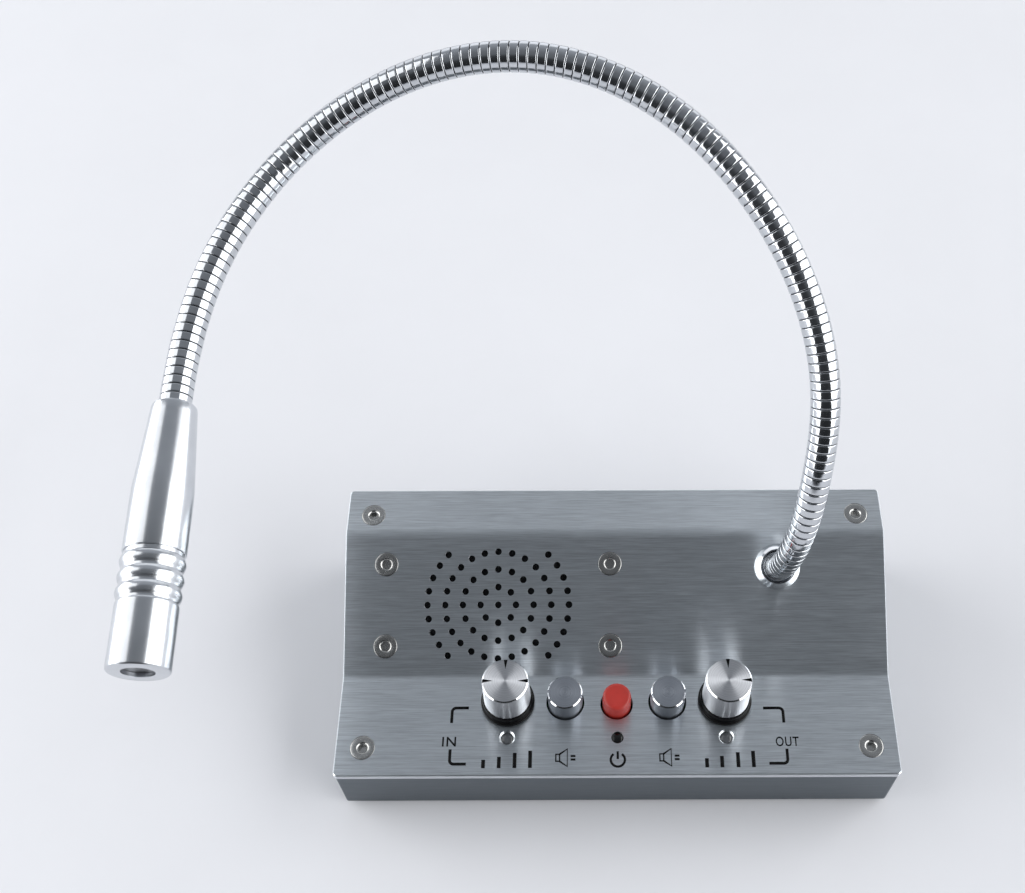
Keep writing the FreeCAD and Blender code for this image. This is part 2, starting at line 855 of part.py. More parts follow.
def gland_nut():
    """Nut under the panel that holds the gland."""
    top = -plate_thickness
    nut = hexagon(gland_nut_across_flats, top - gland_nut_thickness, top)
    nut = nut.cut(rod(gland_thread_radius + thread_gap, top - gland_depth, 0))
    return on_panel(nut, gland_x, gland_up)


def neck_path():
    """Centre line of lead and neck: edges from the main board to the end of the neck."""
    curve_start = gland_point + panel_normal * neck_straight
    turn = slope
    bend_end = gland_point - panel_normal * (gland_depth + lead_step)
    bend_centre = bend_end + Vector(0, -math.cos(turn), -math.sin(turn)) * lead_bend_radius
    bend_start = bend_centre + BACK * lead_bend_radius
    middle = bend_centre + Vector(0, math.cos(turn / 2), math.sin(turn / 2)) * lead_bend_radius
    board_point = Vector(bend_start.x, bend_start.y, main_board_top + lead_board_gap)
    spline = Part.BSplineCurve()
    ahead = Vector(head_direction).normalize()
    spline.interpolate(
        Points=[curve_start] + neck_route, InitialTangent=panel_normal, FinalTangent=ahead, Scale=False
    )
    end = neck_route[-1] + ahead * head_length
    edges = [
        Part.LineSegment(board_point, bend_start).toShape(),
        Part.Arc(bend_start, middle, bend_end).toShape(),
        Part.LineSegment(bend_end, curve_start).toShape(),
        spline.toShape(),
        Part.LineSegment(neck_route[-1], end).toShape(),
    ]
    before_panel = sum(edge.Length for edge in edges[:3]) - neck_straight
    visible = neck_straight + edges[3].Length
    return edges, before_panel, visible


PATH, PATH_START, NECK_LENGTH = neck_path()


def path_point(distance):
    """Point and direction on the centre line, measured from the panel's face."""
    left = distance + PATH_START
    for edge in PATH[:-1]:
        if left <= edge.Length:
            break
        left -= edge.Length
    else:
        edge = PATH[-1]
    parameter = edge.getParameterByLength(left)
    return edge.valueAt(parameter), edge.tangentAt(parameter).normalize()


def tube(stations):
    """Ruled loft through circles at (distance, radius) stations along the centre line."""
    wires = []
    across = ACROSS
    for distance, radius in stations:
        point, direction = path_point(distance)
        across = (across - direction * across.dot(direction)).normalize()
        circle = Part.Circle(ORIGIN, UP, radius).toShape()
        turn = FreeCAD.Rotation(across, direction.cross(across), direction, "ZXY")
        circle.Placement = FreeCAD.Placement(point, turn)
        wires.append(Part.Wire(circle))
    return Part.makeLoft(wires, True, True)


def even_steps(start, end, step):
    """Distances from start to end, evenly spaced about a step apart."""
    count = max(1, round((end - start) / step))
    return [start + (end - start) * k / count for k in range(count + 1)]


def ringed_hose(start, end):
    """Stretch of the neck: rings with grooves between them, and the bore."""
    count = max(1, round((end - start) / ring_pitch))
    pitch = (end - start) / count
    groove = neck_radius - neck_groove_depth
    shoulder = neck_radius - neck_shoulder_depth
    stations = []
    for k in range(count):
        first = start + k * pitch
        stations += [
            (first, groove),
            (first + pitch * neck_shoulder_share, shoulder),
            (first + pitch / 2, neck_radius),
            (first + pitch * (1 - neck_shoulder_share), shoulder),
        ]
    stations.append((end, groove))
    hose = tube(stations)
    bore = tube([(s, neck_bore_radius) for s in even_steps(start - bore_step / 2, end + bore_step / 2, bore_step)])
    return hose.cut(bore), count


def joint_frame(distance):
    """Placement whose Z axis runs along the neck at a joint."""
    point, direction = path_point(distance)
    across = (ACROSS - direction * ACROSS.dot(direction)).normalize()
    turn = FreeCAD.Rotation(across, direction.cross(across), direction, "ZXY")
    return FreeCAD.Placement(point, turn)


def joint_ball(distance):
    """Ball on the end of a stretch of neck, with a mouth that lets the lead swing."""
    bore = neck_bore_radius - joint_cup_gap
    mouth_top = joint_ball_radius + 1
    mouth_radius_top = bore + mouth_top * math.tan(math.radians(joint_mouth_slope))
    ball = Part.makeSphere(joint_ball_radius)
    ball = ball.cut([rod(bore, -mouth_top, mouth_top), taper(bore, mouth_radius_top, 0, mouth_top)])
    below = box(-mouth_top, mouth_top, -mouth_top, mouth_top, -mouth_top, -joint_half_gap - neck_groove_depth)
    ball = ball.cut(below)
    return ball.transformed(joint_frame(distance).toMatrix())


def joint_cup(distance):
    """Hollow at the start of a stretch of neck, which the ball before it turns in."""
    cup = Part.makeSphere(joint_ball_radius + joint_cup_gap)
    return cup.transformed(joint_frame(distance).toMatrix())


def neck_spans():
    """Each rigid stretch of the neck, from the gland to the head."""
    limits = [-neck_in_gland] + neck_joints + [NECK_LENGTH + neck_in_head]
    spans, rings = [], 0
    for k in range(len(limits) - 1):
        start = limits[k] + (joint_half_gap if k > 0 else 0)
        end = limits[k + 1] - (joint_half_gap if k < len(neck_joints) else 0)
        hose, count = ringed_hose(start, end)
        rings += count
        if k < len(neck_joints):
            hose = hose.fuse(joint_ball(limits[k + 1]))
        if k > 0:
            hose = hose.cut(joint_cup(limits[k]))
        spans.append(hose)
    print("neck length", round(NECK_LENGTH, 1), "rings", rings)
    return spans


def neck_leads():
    """The microphone lead in the same stretches as the neck."""
    capsule_rear = head_length - cap_face_wall - mesh_thickness - capsule_height - holder_floor
    limits = [-PATH_START] + neck_joints + [NECK_LENGTH + capsule_rear]
    leads = []
    for k in range(len(limits) - 1):
        start = limits[k] + (lead_joint_gap if k > 0 else 0)
        end = limits[k + 1] - (lead_joint_gap if k < len(neck_joints) else piece_gap)
        leads.append(tube([(s, lead_radius) for s in even_steps(start, end, lead_step)]))
    return leads


def in_head(shape):
    """Moves a shape from the head's own frame, Z forwards from the neck's end, to its place."""
    direction = Vector(head_direction).normalize()
    across = (ACROSS - direction * ACROSS.dot(direction)).normalize()
    return at(shape, neck_route[-1], direction, across)


def microphone_head():
    """Every piece of the head, in its own frame, as name and shape."""
    bore = neck_radius + fixed_gap
    ferrule_end = head_rear_wall + ferrule_length
    inside = head_radius - head_wall
    ferrule_seat = ferrule_radius + fixed_gap
    body = turned([
        (bore, 0),
        (head_rear_radius - head_rear_round, 0),
        (head_rear_radius, head_rear_round),
        (head_radius, head_taper_length),
        (head_radius, head_seam),
        (inside, head_seam),
        (inside, head_taper_length),
        (ferrule_seat, ferrule_end),
        (ferrule_seat, head_rear_wall),
        (bore, head_rear_wall),
    ])
    ferrule = ring(ferrule_radius, bore, head_rear_wall, ferrule_end)
    face_inside = head_length - cap_face_wall
    spigot = inside - fixed_gap
    spigot_inside = spigot - head_wall / 2
    groove = head_radius - bead_groove_depth
    beads_start = head_seam + bead_start
    outline = [(spigot, head_seam - spigot_length), (spigot, head_seam), (groove, head_seam)]
    for k in range(bead_count):
        first = beads_start + k * bead_pitch
        last = first + bead_pitch - bead_groove_width
        outline += [
            (groove, first),
            (head_radius, first + bead_groove_depth),
            (head_radius + bead_rise, (first + last) / 2),
            (head_radius, last - bead_groove_depth),
            (groove, last),
            (groove, first + bead_pitch),
        ]
    beads_end = beads_start + bead_count * bead_pitch
    outline += [
        (cap_radius, beads_end + bead_groove_depth),
        (cap_radius, head_length - cap_chamfer),
        (cap_radius - cap_chamfer, head_length),
        (mouth_radius, head_length),
        (mouth_radius, face_inside),
        (inside, face_inside),
        (inside, head_seam + bead_groove_depth),
        (spigot_inside, head_seam - bead_groove_depth),
        (spigot_inside, head_seam - spigot_length),
    ]
    cap = turned(outline)
    mesh_rear = face_inside - mesh_thickness
    room = inside - piece_gap
    mesh = rod(room, mesh_rear, face_inside)
    capsule_rear = mesh_rear - capsule_height
    capsule = rod(capsule_radius, capsule_rear, mesh_rear)
    holder = rod(room, capsule_rear - holder_floor, mesh_rear)
    holder = holder.cut([
        rod(capsule_radius + fixed_gap, capsule_rear, head_length),
        rod(lead_radius + piece_gap, 0, head_length),
    ])
    return {
        "mic_body": [body],
        "mic_cap": [cap],
        "mic_mesh": [mesh],
        "mic_capsule": [capsule],
        "capsule_holder": [holder],
        "neck_ferrule": [ferrule],
    }


def line_socket():
    """Round socket through the back wall, standing on the main board."""
    half = socket_body_width / 2
    body = box(-half, half, -half, half, -socket_depth_inside, -tray_wall)
    thread = rod(socket_thread_radius, -tray_wall, socket_rise)
    depth = socket_depth_inside - tray_wall
    socket = body.fuse(thread).cut(rod(socket_plug_radius, -depth, 2 * socket_rise))
    return at(socket, Vector(socket_x, wall_outside_y, socket_z), BACK)


def socket_nut():
    """Nut on the outside of the back wall."""
    nut = hexagon(socket_nut_across_flats, 0, socket_nut_thickness)
    nut = nut.cut(rod(socket_thread_radius + thread_gap, -1, 2 * socket_nut_thickness))
    return at(nut, Vector(socket_x, wall_outside_y, socket_z), BACK)


def cable_grommet():
    """Rubber grommet for the cable, held in a hole in the back wall."""
    edge = grommet_flange_thickness + fixed_gap
    inner_face = -tray_wall - fixed_gap
    profile = [
        (grommet_bore_radius, inner_face - grommet_flange_thickness),
        (grommet_flange_radius, inner_face - grommet_flange_thickness),
        (grommet_flange_radius, inner_face),
        (grommet_groove_radius, inner_face),
        (grommet_groove_radius, fixed_gap),
        (grommet_flange_radius, fixed_gap),
        (grommet_flange_radius - grommet_flange_thickness / 2, edge),
        (grommet_bore_radius, edge),
    ]
    return at(turned(profile), Vector(grommet_x, wall_outside_y, socket_z), BACK)


def write_housing():
    """Plate, tray, posts, screws and pad."""
    save("top_plate", top_plate())
    save("housing_tray", housing_tray())
    save("corner_posts", *corner_posts())
    save("plate_screws", *[shift(screw(screw_length), x, y, z) for x, y, z in corner_screws])
    pad_x, pad_y = body_width / 2 - pad_inset, body_depth / 2 - pad_inset
    save("base_pad", rounded_slab(pad_x, pad_y, pad_corner, 0, pad_thickness))


def write_loudspeaker():
    """Loudspeaker with its screws and nuts."""
    for name, shapes in loudspeaker().items():
        save(name, *[on_panel(shape, speaker_x, speaker_up) for shape in shapes])
    save("speaker_screws", *[on_panel(screw(screw_length), x, up) for x, up in speaker_screws])
    save("speaker_nuts", *speaker_nuts())


def write_boards():
    """Boards, their pillars and what stands on them."""
    width = control_board_half_width
    front, rear = front_y + control_board_front, front_y + control_board_rear
    save("control_board", box(-width, width, front, rear, control_board_z, board_top))
    main = (main_board_left, main_board_right, main_board_front, main_board_rear)
    save("main_board", box(*main, main_board_z, main_board_top))
    save("board_pillars", *pillars(-width, width, front, rear, control_board_z), *pillars(*main, main_board_z))
    save("board_parts", *board_parts())


def write_controls():
    """Knobs, buttons and lamps."""
    sides = {"in": -knob_x, "out": knob_x}
    save("pot_bodies", *[pot_body(x) for x in sides.values()])
    save("pot_washers", *[pot_washer(x) for x in sides.values()])
    save("pot_nuts", *[pot_nut(x) for x in sides.values()])
    for name, x in sides.items():
        save(name + "_knob_shaft", knob_shaft(x))
        save(name + "_knob_skirt", knob_skirt(x))
        save(name + "_knob_cap", knob_cap(x, knob_marks[name]))
    places = {"left": (-button_x, button_y), "right": (button_x, button_y), "power": (power_x, power_y)}
    save("left_button", silver_button(-button_x))
    save("right_button", silver_button(button_x))
    save("power_button", power_button())
    save("switch_housings", *[switch_housing(x, y) for x, y in places.values()])
    for name, (x, y) in places.items():
        save(name + "_spring", return_spring(x, y))
    save("level_lamps", lamp(-lamp_x), lamp(lamp_x))
    save("power_lamp", lamp(power_lamp_x))


def write_neck():
    """Gland, neck and microphone head."""
    save("neck_gland", neck_gland())
    save("gland_nut", gland_nut())
    for k, span in enumerate(neck_spans()):
        save("neck_span_" + str(k), span)
    for k, lead in enumerate(neck_leads()):
        save("neck_lead_" + str(k), lead)
    for name, shapes in microphone_head().items():
        save(name, *[in_head(shape) for shape in shapes])
    for k, distance in enumerate(neck_joints):
        point, direction = path_point(distance)
        print("joint", k + 1, [round(v, 3) for v in point], [round(v, 4) for v in direction])


def write_back_wall():
    """Connections in the back wall."""
    save("line_socket", line_socket())
    save("socket_nut", socket_nut())
    save("cable_grommet", cable_grommet())


def main():
    os.makedirs("parts", exist_ok=True)
    write_housing()
    write_loudspeaker()
    write_boards()
    write_controls()
    write_neck()
    write_back_wall()


main()
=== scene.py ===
"""Looks of the counter microphone: a brushed steel console with spun metal controls, printed
legend and a chromed flexible neck that carries a polished microphone head."""

import json
import math

import bmesh
import bpy
from bpy.props import FloatProperty, FloatVectorProperty, IntProperty, PointerProperty
from mathutils import Matrix, Vector


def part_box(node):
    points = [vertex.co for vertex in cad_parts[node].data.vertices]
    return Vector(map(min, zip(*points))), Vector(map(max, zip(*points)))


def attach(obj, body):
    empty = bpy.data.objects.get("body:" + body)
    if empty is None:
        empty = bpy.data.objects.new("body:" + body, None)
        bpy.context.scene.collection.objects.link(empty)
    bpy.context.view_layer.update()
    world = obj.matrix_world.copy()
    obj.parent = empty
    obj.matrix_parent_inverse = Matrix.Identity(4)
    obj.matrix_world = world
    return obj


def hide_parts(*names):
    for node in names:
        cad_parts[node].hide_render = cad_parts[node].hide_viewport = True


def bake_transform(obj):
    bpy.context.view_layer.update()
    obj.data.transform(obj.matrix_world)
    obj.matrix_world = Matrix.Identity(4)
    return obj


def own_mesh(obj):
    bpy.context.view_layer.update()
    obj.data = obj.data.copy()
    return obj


bl_info = {
    "name": "Counter microphone",
    "version": (1, 0, 0),
    "blender": (4, 5, 0),
    "location": "View3D > Sidebar > Counter microphone",
    "description": "Models the neck, head, controls and legend of a counter microphone, with their finishes",
    "category": "Object",
}

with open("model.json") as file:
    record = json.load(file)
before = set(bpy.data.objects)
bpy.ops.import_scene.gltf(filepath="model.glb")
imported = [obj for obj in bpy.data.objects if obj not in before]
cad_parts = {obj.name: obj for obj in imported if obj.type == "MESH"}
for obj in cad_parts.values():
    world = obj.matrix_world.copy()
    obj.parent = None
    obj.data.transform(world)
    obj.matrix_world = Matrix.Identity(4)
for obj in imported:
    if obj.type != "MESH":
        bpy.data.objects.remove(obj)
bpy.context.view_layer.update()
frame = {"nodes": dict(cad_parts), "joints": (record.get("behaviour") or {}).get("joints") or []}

MM = 0.001
ACROSS = Vector((1, 0, 0))

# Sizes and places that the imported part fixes, in millimetres, and the slope of its panel in degrees
STRIP_Z = 27.3
BACK_STRIP_Z = 48.1
PANEL_SLOPE = 26.15
PANEL_FOOT = Vector((0, -12.85, STRIP_Z))
PANEL_NORMAL = Vector((0, -math.sin(math.radians(PANEL_SLOPE)), math.cos(math.radians(PANEL_SLOPE))))
GLAND = Vector((53.8, 19.195, 43.034))
GLAND_ON_PANEL = (53.8, 35.7)
NECK_STRAIGHT = 9.0
NECK_IN_GLAND = 7.0
NECK_IN_HEAD = 8.0
NECK_ROUTE = [
    Vector(point)
    for point in (
        (56.2, 11.8, 74.6), (59.2, 20.1, 98.2), (59.9, 36.0, 121.2), (52.9, 57.0, 141.1),
        (36.9, 77.9, 159.3), (11.8, 97.6, 173.1), (-23.3, 108.5, 180.2), (-61.9, 107.4, 173.4),
        (-95.4, 92.4, 157.3), (-116.0, 60.2, 144.6), (-121.67, 20.42, 135.05),
    )
]
HEAD_DIRECTION = Vector((0.017, -0.992, -0.123)).normalized()
HEAD_LENGTH = 74.5
HEAD_SEAM = 43.2
BEAD_PITCH = 4.24
KNOB_X = 35.3
KNOB_Y = -21.65
BUTTON_X = 16.6
BUTTON_Y = -21.95
POWER_BUTTON = (0.1, -22.65)
LAMPS_X = (-35.2, 35.2, 0.2)
LAMP_Y = -33.95
GRILLE_X = -39.0
GRILLE_UP = 23.4
PLATE_SCREW_X = 81.3
PLATE_SCREWS_FRONT = -37.05
PLATE_SCREWS_BACK = 36.65
PANEL_SCREW_X = 37.2
PANEL_SCREW_UP = 13.5

# Sizes of parts that are modelled here, in millimetres
CLOTH_RADIUS = 24.9
CLOTH_HALF = 18.9
CLOTH_THICKNESS = 0.25
CLOTH_DEPTH = 2.52
CLOTH_RIPPLE = 0.015
SPRING_RADIUS = 1.6
SPRING_WIRE = 0.17
SPRING_TURNS = 3
MESH_CELLS = 30
MESH_PITCH = 0.42
MESH_WIRE = 0.15
MESH_THICKNESS = 0.14
MESH_RADIUS = 6.2
MESH_DEPTH = 1.2
HEX_KEY = 2.5
HEX_DEPTH = 1.8
BARS_Y = -43.9

# Faces round a turned piece: most of them, the knobs' caps, and the small ones
FACES = 96
CAP_FACES = 128
SMALL_FACES = 48

# Points closer than this are merged, in millimetres, and rounds in which the neck's tangents settle
SAME_PLACE = 0.002
SLOPE_ROUNDS = 60

# Walls of light: name, place and turn (metres, degrees), size, and the brightness they take a share of
WALLS = (
    ("left_wall", (-1.44, -0.18, 0.48), (0, -90, 0), (0.96, 2.7), "side_light", 1.0),
    ("left_slope", (-1.18, 0.34, 0.95), (0, -66, 0), (1.6, 1.2), "side_light", 0.43),
    ("right_wall", (1.44, -0.27, 1.02), (0, 90, 0), (2.1, 2.9), "side_light", 0.97),
    ("back_wall", (0.0, 1.90, 0.65), (-90, 0, 0), (2.9, 1.2), "back_light", 1.0),
)

# Brightness of the sky right in front, and at shares of the way to the back, where it is 1
SKY_FRONT = 0.03
SKY = ((0.125, 0.06), (0.25, 0.2), (0.45, 0.25), (0.65, 0.36), (0.85, 0.52), (0.975, 0.72))

# The photograph's camera, solved from its edges: millimetres of lens, metres, and degrees
CAMERA_LENS = 44.87
CAMERA_SHIFT = -0.079
CAMERA_PLACE = (-0.00810, -0.18063, 0.42113)
CAMERA_TURN = (33.26, 0, -0.24)

# Side of the square floor, in metres
FLOOR_SIZE = 12.0


def hex_colour(code):
    """Linear colour of an sRGB hex value."""
    channels = [int(code[i:i + 2], 16) / 255 for i in (0, 2, 4)]
    return tuple(c / 12.92 if c <= 0.04045 else ((c + 0.055) / 1.055) ** 2.4 for c in channels) + (1.0,)


def length_setting(name, description, size, least):
    """Property that holds a length, set out in millimetres."""
    return FloatProperty(
        name=name, description=description, default=size * MM, min=least * MM, precision=5, unit="LENGTH",
        subtype="DISTANCE",
    )


def colour_setting(name, description, code):
    """Property that holds a colour."""
    return FloatVectorProperty(
        name=name, description=description, subtype="COLOR", size=4, min=0, max=1, default=hex_colour(code)
    )


class HousingSettings(bpy.types.PropertyGroup):
    """Finish of the plate and tray."""
    plate_colour: colour_setting("Plate colour", "Base colour of the brushed plate", "F2F8FC")
    grain_width: length_setting("Grain width", "Width of one brushed line", 0.28, 0.05)
    grain_length: length_setting("Grain length", "Length of one brushed line", 9.0, 1.0)


class NeckSettings(bpy.types.PropertyGroup):
    """Shape of the flexible neck."""
    ring_count: IntProperty(
        name="Rings", description="Number of rings from end to end of the neck", default=149, min=20
    )
    sides: IntProperty(name="Sides", description="Number of faces round one ring", default=40, min=12)
    band_radius: length_setting("Band radius", "Radius over the rings", 4.4, 1.0)
    groove_radius: length_setting("Groove radius", "Radius in the grooves", 3.98, 1.0)


class ControlSettings(bpy.types.PropertyGroup):
    """Shape and finish of the knobs and buttons."""
    knob_height: length_setting("Knob height", "Height of a knob above the plate", 17.2, 15.5)
    button_height: length_setting("Button height", "Height of a silver button above the plate", 8.7, 2.0)
    power_height: length_setting("Power button height", "Height of the red button above the plate", 7.0, 2.0)
    power_colour: colour_setting("Power button colour", "Base colour of the red button", "B63027")


class LegendSettings(bpy.types.PropertyGroup):
    """Printed marks on the plate."""
    stroke: length_setting("Stroke", "Width of the printed lines", 0.75, 0.1)
    letter_height: length_setting("Letter height", "Height of the printed letters", 3.2, 1.0)
    thickness: length_setting("Ink thickness", "How far the print stands on the plate", 0.03, 0.005)


class StageSettings(bpy.types.PropertyGroup):
    """Floor, light and camera."""
    floor_colour: colour_setting("Floor colour", "Base colour of the floor", "E7E8EC")
    side_light: FloatProperty(
        name="Side light", description="Brightness of the side walls of light", default=2.95, min=0.0
    )
    back_light: FloatProperty(
        name="Back light", description="Brightness of the wall of light behind", default=0.6, min=0.0
    )
    sky: FloatProperty(
        name="Sky", description="Brightness of the sky, which darkens to the front", default=1.0, min=0.0
    )


SETTINGS = {
    "counter_mic_housing": HousingSettings,
    "counter_mic_neck": NeckSettings,
    "counter_mic_controls": ControlSettings,
    "counter_mic_legend": LegendSettings,
    "counter_mic_stage": StageSettings,
}


def add_node(tree, kind, inputs=None, **settings):
    """Adds a node with its settings; each input is a value or the socket that feeds it."""
    made = tree.nodes.new("ShaderNode" + kind)
    for name, value in settings.items():
        setattr(made, name, value)
    for name, value in (inputs or {}).items():
        if isinstance(value, bpy.types.NodeSocket):
            tree.links.new(value, made.inputs[name])
        else:
            made.inputs[name].default_value = value
    return made


def new_material(name):
    """Empty node material, as (material, its tree)."""
    made = bpy.data.materials.new(name)
    made.use_nodes = True
    made.node_tree.nodes.clear()
    return made, made.node_tree


def darker(tint, share):
    """A colour at a share of its brightness."""
    return tuple(share * c for c in tint[:3]) + (1.0,)


def noise_in(tree, size, detail=3.0, stretch=(1, 1, 1)):
    """Noise on the piece's own coordinates, with spots of a size in millimetres, drawn out by stretch."""
    mapped = add_node(tree, "Mapping", {
        "Vector": add_node(tree, "TexCoord").outputs["Object"],
        "Scale": [1 / (size * MM * s) for s in stretch],
    })
    return add_node(tree, "TexNoise", {
        "Vector": mapped.outputs["Vector"], "Scale": 1.0, "Detail": detail, "Roughness": 0.6,
    }).outputs["Fac"]


def side_share(tree, low, high):
    """1 on the upright sides of a piece, and 0 on the faces that look up by more than the high value."""
    facing = add_node(tree, "SeparateXYZ", {"Vector": add_node(tree, "TexCoord").outputs["Normal"]})
    return add_node(tree, "MapRange", {
        "Value": facing.outputs["Z"], "From Min": low, "From Max": high, "To Min": 1.0, "To Max": 0.0,
    }).outputs["Result"]


def finish_material(tree, tones, rough, relief=None, edge=None, **sockets):
    """Ends a material with its surface shader.

    tones is (pattern, dark, light), and may go on with the pattern's values for the two. rough is one number
    or (pattern, low, high), and relief is (pattern, depth in millimetres). edge is (socket, share, value):
    that socket takes the value where the share is 1. sockets are more of the shader's, with _ for a space."""
    pattern, dark, light, *ends = tones
    low, high = ends or (0.35, 0.65)
    share = add_node(
        tree, "MapRange", {"Value": pattern, "From Min": low, "From Max": high}
    ).outputs["Result"]
    inputs = {name.replace("_", " "): value for name, value in sockets.items()}
    inputs["Base Color"] = add_node(
        tree, "Mix", {"Factor": share, "A": dark, "B": light}, data_type="RGBA"
    ).outputs["Result"]
    inputs["Roughness"] = rough
    if isinstance(rough, tuple):
        inputs["Roughness"] = add_node(tree, "MapRange", {
            "Value": rough[0], "From Min": 0.3, "From Max": 0.7, "To Min": rough[1], "To Max": rough[2],
        }).outputs["Result"]
    if relief:
        inputs["Normal"] = add_node(
            tree, "Bump", {"Height": relief[0], "Strength": 1.0, "Distance": relief[1] * MM}
        ).outputs["Normal"]
    if edge:
        socket, share, value = edge
        inputs[socket] = add_node(
            tree, "Mix", {"Factor": share, "A": inputs[socket], "B": value},
            data_type="RGBA" if socket == "Base Color" else "FLOAT",
        ).outputs["Result"]
    shader = add_node(tree, "BsdfPrincipled", inputs)
    add_node(tree, "OutputMaterial", {"Surface": shader.outputs["BSDF"]})


def brushed_steel(name, dark, light, edge):
    """Stainless sheet, belt brushed along X: fine long lines, and highlights drawn out across them.

    Real lines are about 0.1 mm wide, too fine to show, so they are drawn nearly three times as coarse. The
    cut edges have no grain, and are brighter."""
    made, tree = new_material(name)
    sizes = bpy.context.scene.counter_mic_housing
    width = sizes.grain_width / MM
    stretch = (sizes.grain_length / sizes.grain_width, 1, 1)
    fine, streaks = [noise_in(tree, size, 3.0, stretch) for size in (width, width * 3.5)]
    grain = add_node(
        tree, "Mix", {"Factor": 0.28, "A": fine, "B": streaks}, data_type="FLOAT"
    ).outputs["Result"]
    cloud = noise_in(tree, 34.0, 2.0, (1.6, 1, 1))
    tone = add_node(
        tree, "Mix", {"Factor": 0.15, "A": grain, "B": cloud}, data_type="FLOAT"
    ).outputs["Result"]
    off_grain = add_node(tree, "VectorMath", {
        0: add_node(tree, "NewGeometry").outputs["Normal"], 1: ACROSS,
    }, operation="CROSS_PRODUCT").outputs["Vector"]
    # End faces look along the grain and leave the cross product empty, so a small vector is added
    across = add_node(
        tree, "VectorMath", {0: off_grain, 1: (0.0, 0.02, 0.05)}, operation="ADD"
    ).outputs["Vector"]
    finish_material(
        tree, (tone, dark, light, 0.38, 0.62), (grain, 0.29, 0.40), (grain, 0.006),
        ("Base Color", side_share(tree, 0.2, 0.5), edge), Metallic=1.0, Anisotropic=0.9, Tangent=across,
    )
    return made


def polished_metal(name, code, roughness, wear=0.05, scratch=0.6):
    """Plated or polished metal: mirror bright, with faint wiping marks that soften its reflections."""
    made, tree = new_material(name)
    wipe = noise_in(tree, scratch, 4.0, (1, 1, 3))
    tint = hex_colour(code)
    finish_material(
        tree, (noise_in(tree, 12.0), darker(tint, 0.9), tint), (wipe, roughness, roughness + wear),
        (wipe, 0.0006), Metallic=1.0,
    )
    return made


def turned_metal(name, code, roughness, x, y, pitch, anisotropy):
    """Aluminium turned about an upright axis at x, y: fine rings, and a highlight that fans out from it.

    A real tool leaves rings of about 0.1 mm, drawn two to three times as coarse here, so that they show. The
    sides are turned to one smoothness."""
    made, tree = new_material(name)
    place = add_node(tree, "TexCoord").outputs["Object"]
    from_axis = add_node(
        tree, "VectorMath", {0: place, 1: (x * MM, y * MM, 0.0)}, operation="SUBTRACT"
    ).outputs["Vector"]
    radial = add_node(
        tree, "VectorMath", {0: from_axis, 1: (1.0, 1.0, 0.0)}, operation="MULTIPLY"
    ).outputs["Vector"]
    distance = add_node(tree, "VectorMath", {0: radial}, operation="LENGTH").outputs["Value"]
    height = add_node(tree, "SeparateXYZ", {"Vector": place}).outputs["Z"]
    along = add_node(tree, "Math", {0: distance, 1: height}, operation="ADD").outputs["Value"]
    rings = add_node(
        tree, "Math", {0: along, 1: 1 / (pitch * MM)}, operation="MULTIPLY"
    ).outputs["Value"]
    lines = add_node(
        tree, "TexNoise", {"W": rings, "Scale": 1.0, "Detail": 3.0, "Roughness": 0.7},
        noise_dimensions="1D",
    ).outputs["Fac"]
    round_axis = add_node(
        tree, "VectorMath", {0: (0.0, 0.0, 1.0), 1: radial}, operation="CROSS_PRODUCT"
    ).outputs["Vector"]
    groove_way = add_node(
        tree, "VectorTransform", {"Vector": round_axis}, vector_type="VECTOR",
        convert_from="OBJECT", convert_to="WORLD",
    ).outputs["Vector"]
    across = add_node(tree, "VectorMath", {
        0: add_node(tree, "NewGeometry").outputs["Normal"], 1: groove_way,
    }, operation="CROSS_PRODUCT").outputs["Vector"]
    tint = hex_colour(code)
    finish_material(
        tree, (lines, darker(tint, 0.82), tint), (lines, roughness - 0.04, roughness + 0.06), (lines, 0.0015),
        ("Roughness", side_share(tree, 0.1, 0.9), 0.32), Metallic=1.0, Anisotropic=anisotropy, Tangent=across,
    )
    return made


def moulded(name, dark, light, roughness, grain=0.25, relief=0.004, **sockets):
    """Moulded plastic, rubber, paper or ferrite: an even colour with a fine matt skin.

    The grain of a real skin is about 0.1 mm. It is drawn coarser than that, so that it shows."""
    made, tree = new_material(name)
    skin = noise_in(tree, grain)
    finish_material(
        tree, (noise_in(tree, 6.0, 2.0), dark, light), (skin, roughness - 0.06, roughness + 0.08),
        (skin, relief), **sockets,
    )
    return made


def plated_metal(name, dark, light, roughness, spot=0.8):
    """Zinc, brass or wire: soft crystalline clouding on a dull metal."""
    made, tree = new_material(name)
    spangle = noise_in(tree, spot, 4.0)
    finish_material(
        tree, (spangle, dark, light), (spangle, roughness - 0.08, roughness + 0.1), (spangle, 0.003),
        Metallic=1.0,
    )
    return made


def woven_cloth(name, dark, light, thread):
    """Cloth or open foam: matt threads or cells, crossing at right angles.

    They are drawn six times as coarse as real ones, which are too fine to show."""
    made, tree = new_material(name)
    place = add_node(tree, "TexCoord").outputs["Object"]
    waves = [
        add_node(
            tree, "TexWave",
            {"Vector": place, "Scale": 1 / (20 * thread * MM), "Distortion": 0.6, "Detail": 1.0},
            wave_type="BANDS", bands_direction=axis,
        ).outputs["Fac"]
        for axis in ("X", "Y")
    ]
    weave = add_node(tree, "Math", dict(enumerate(waves)), operation="MULTIPLY").outputs["Value"]
    finish_material(tree, (weave, dark, light, 0.1, 0.8), 0.95, (weave, 0.08), Sheen_Weight=0.3)
    return made


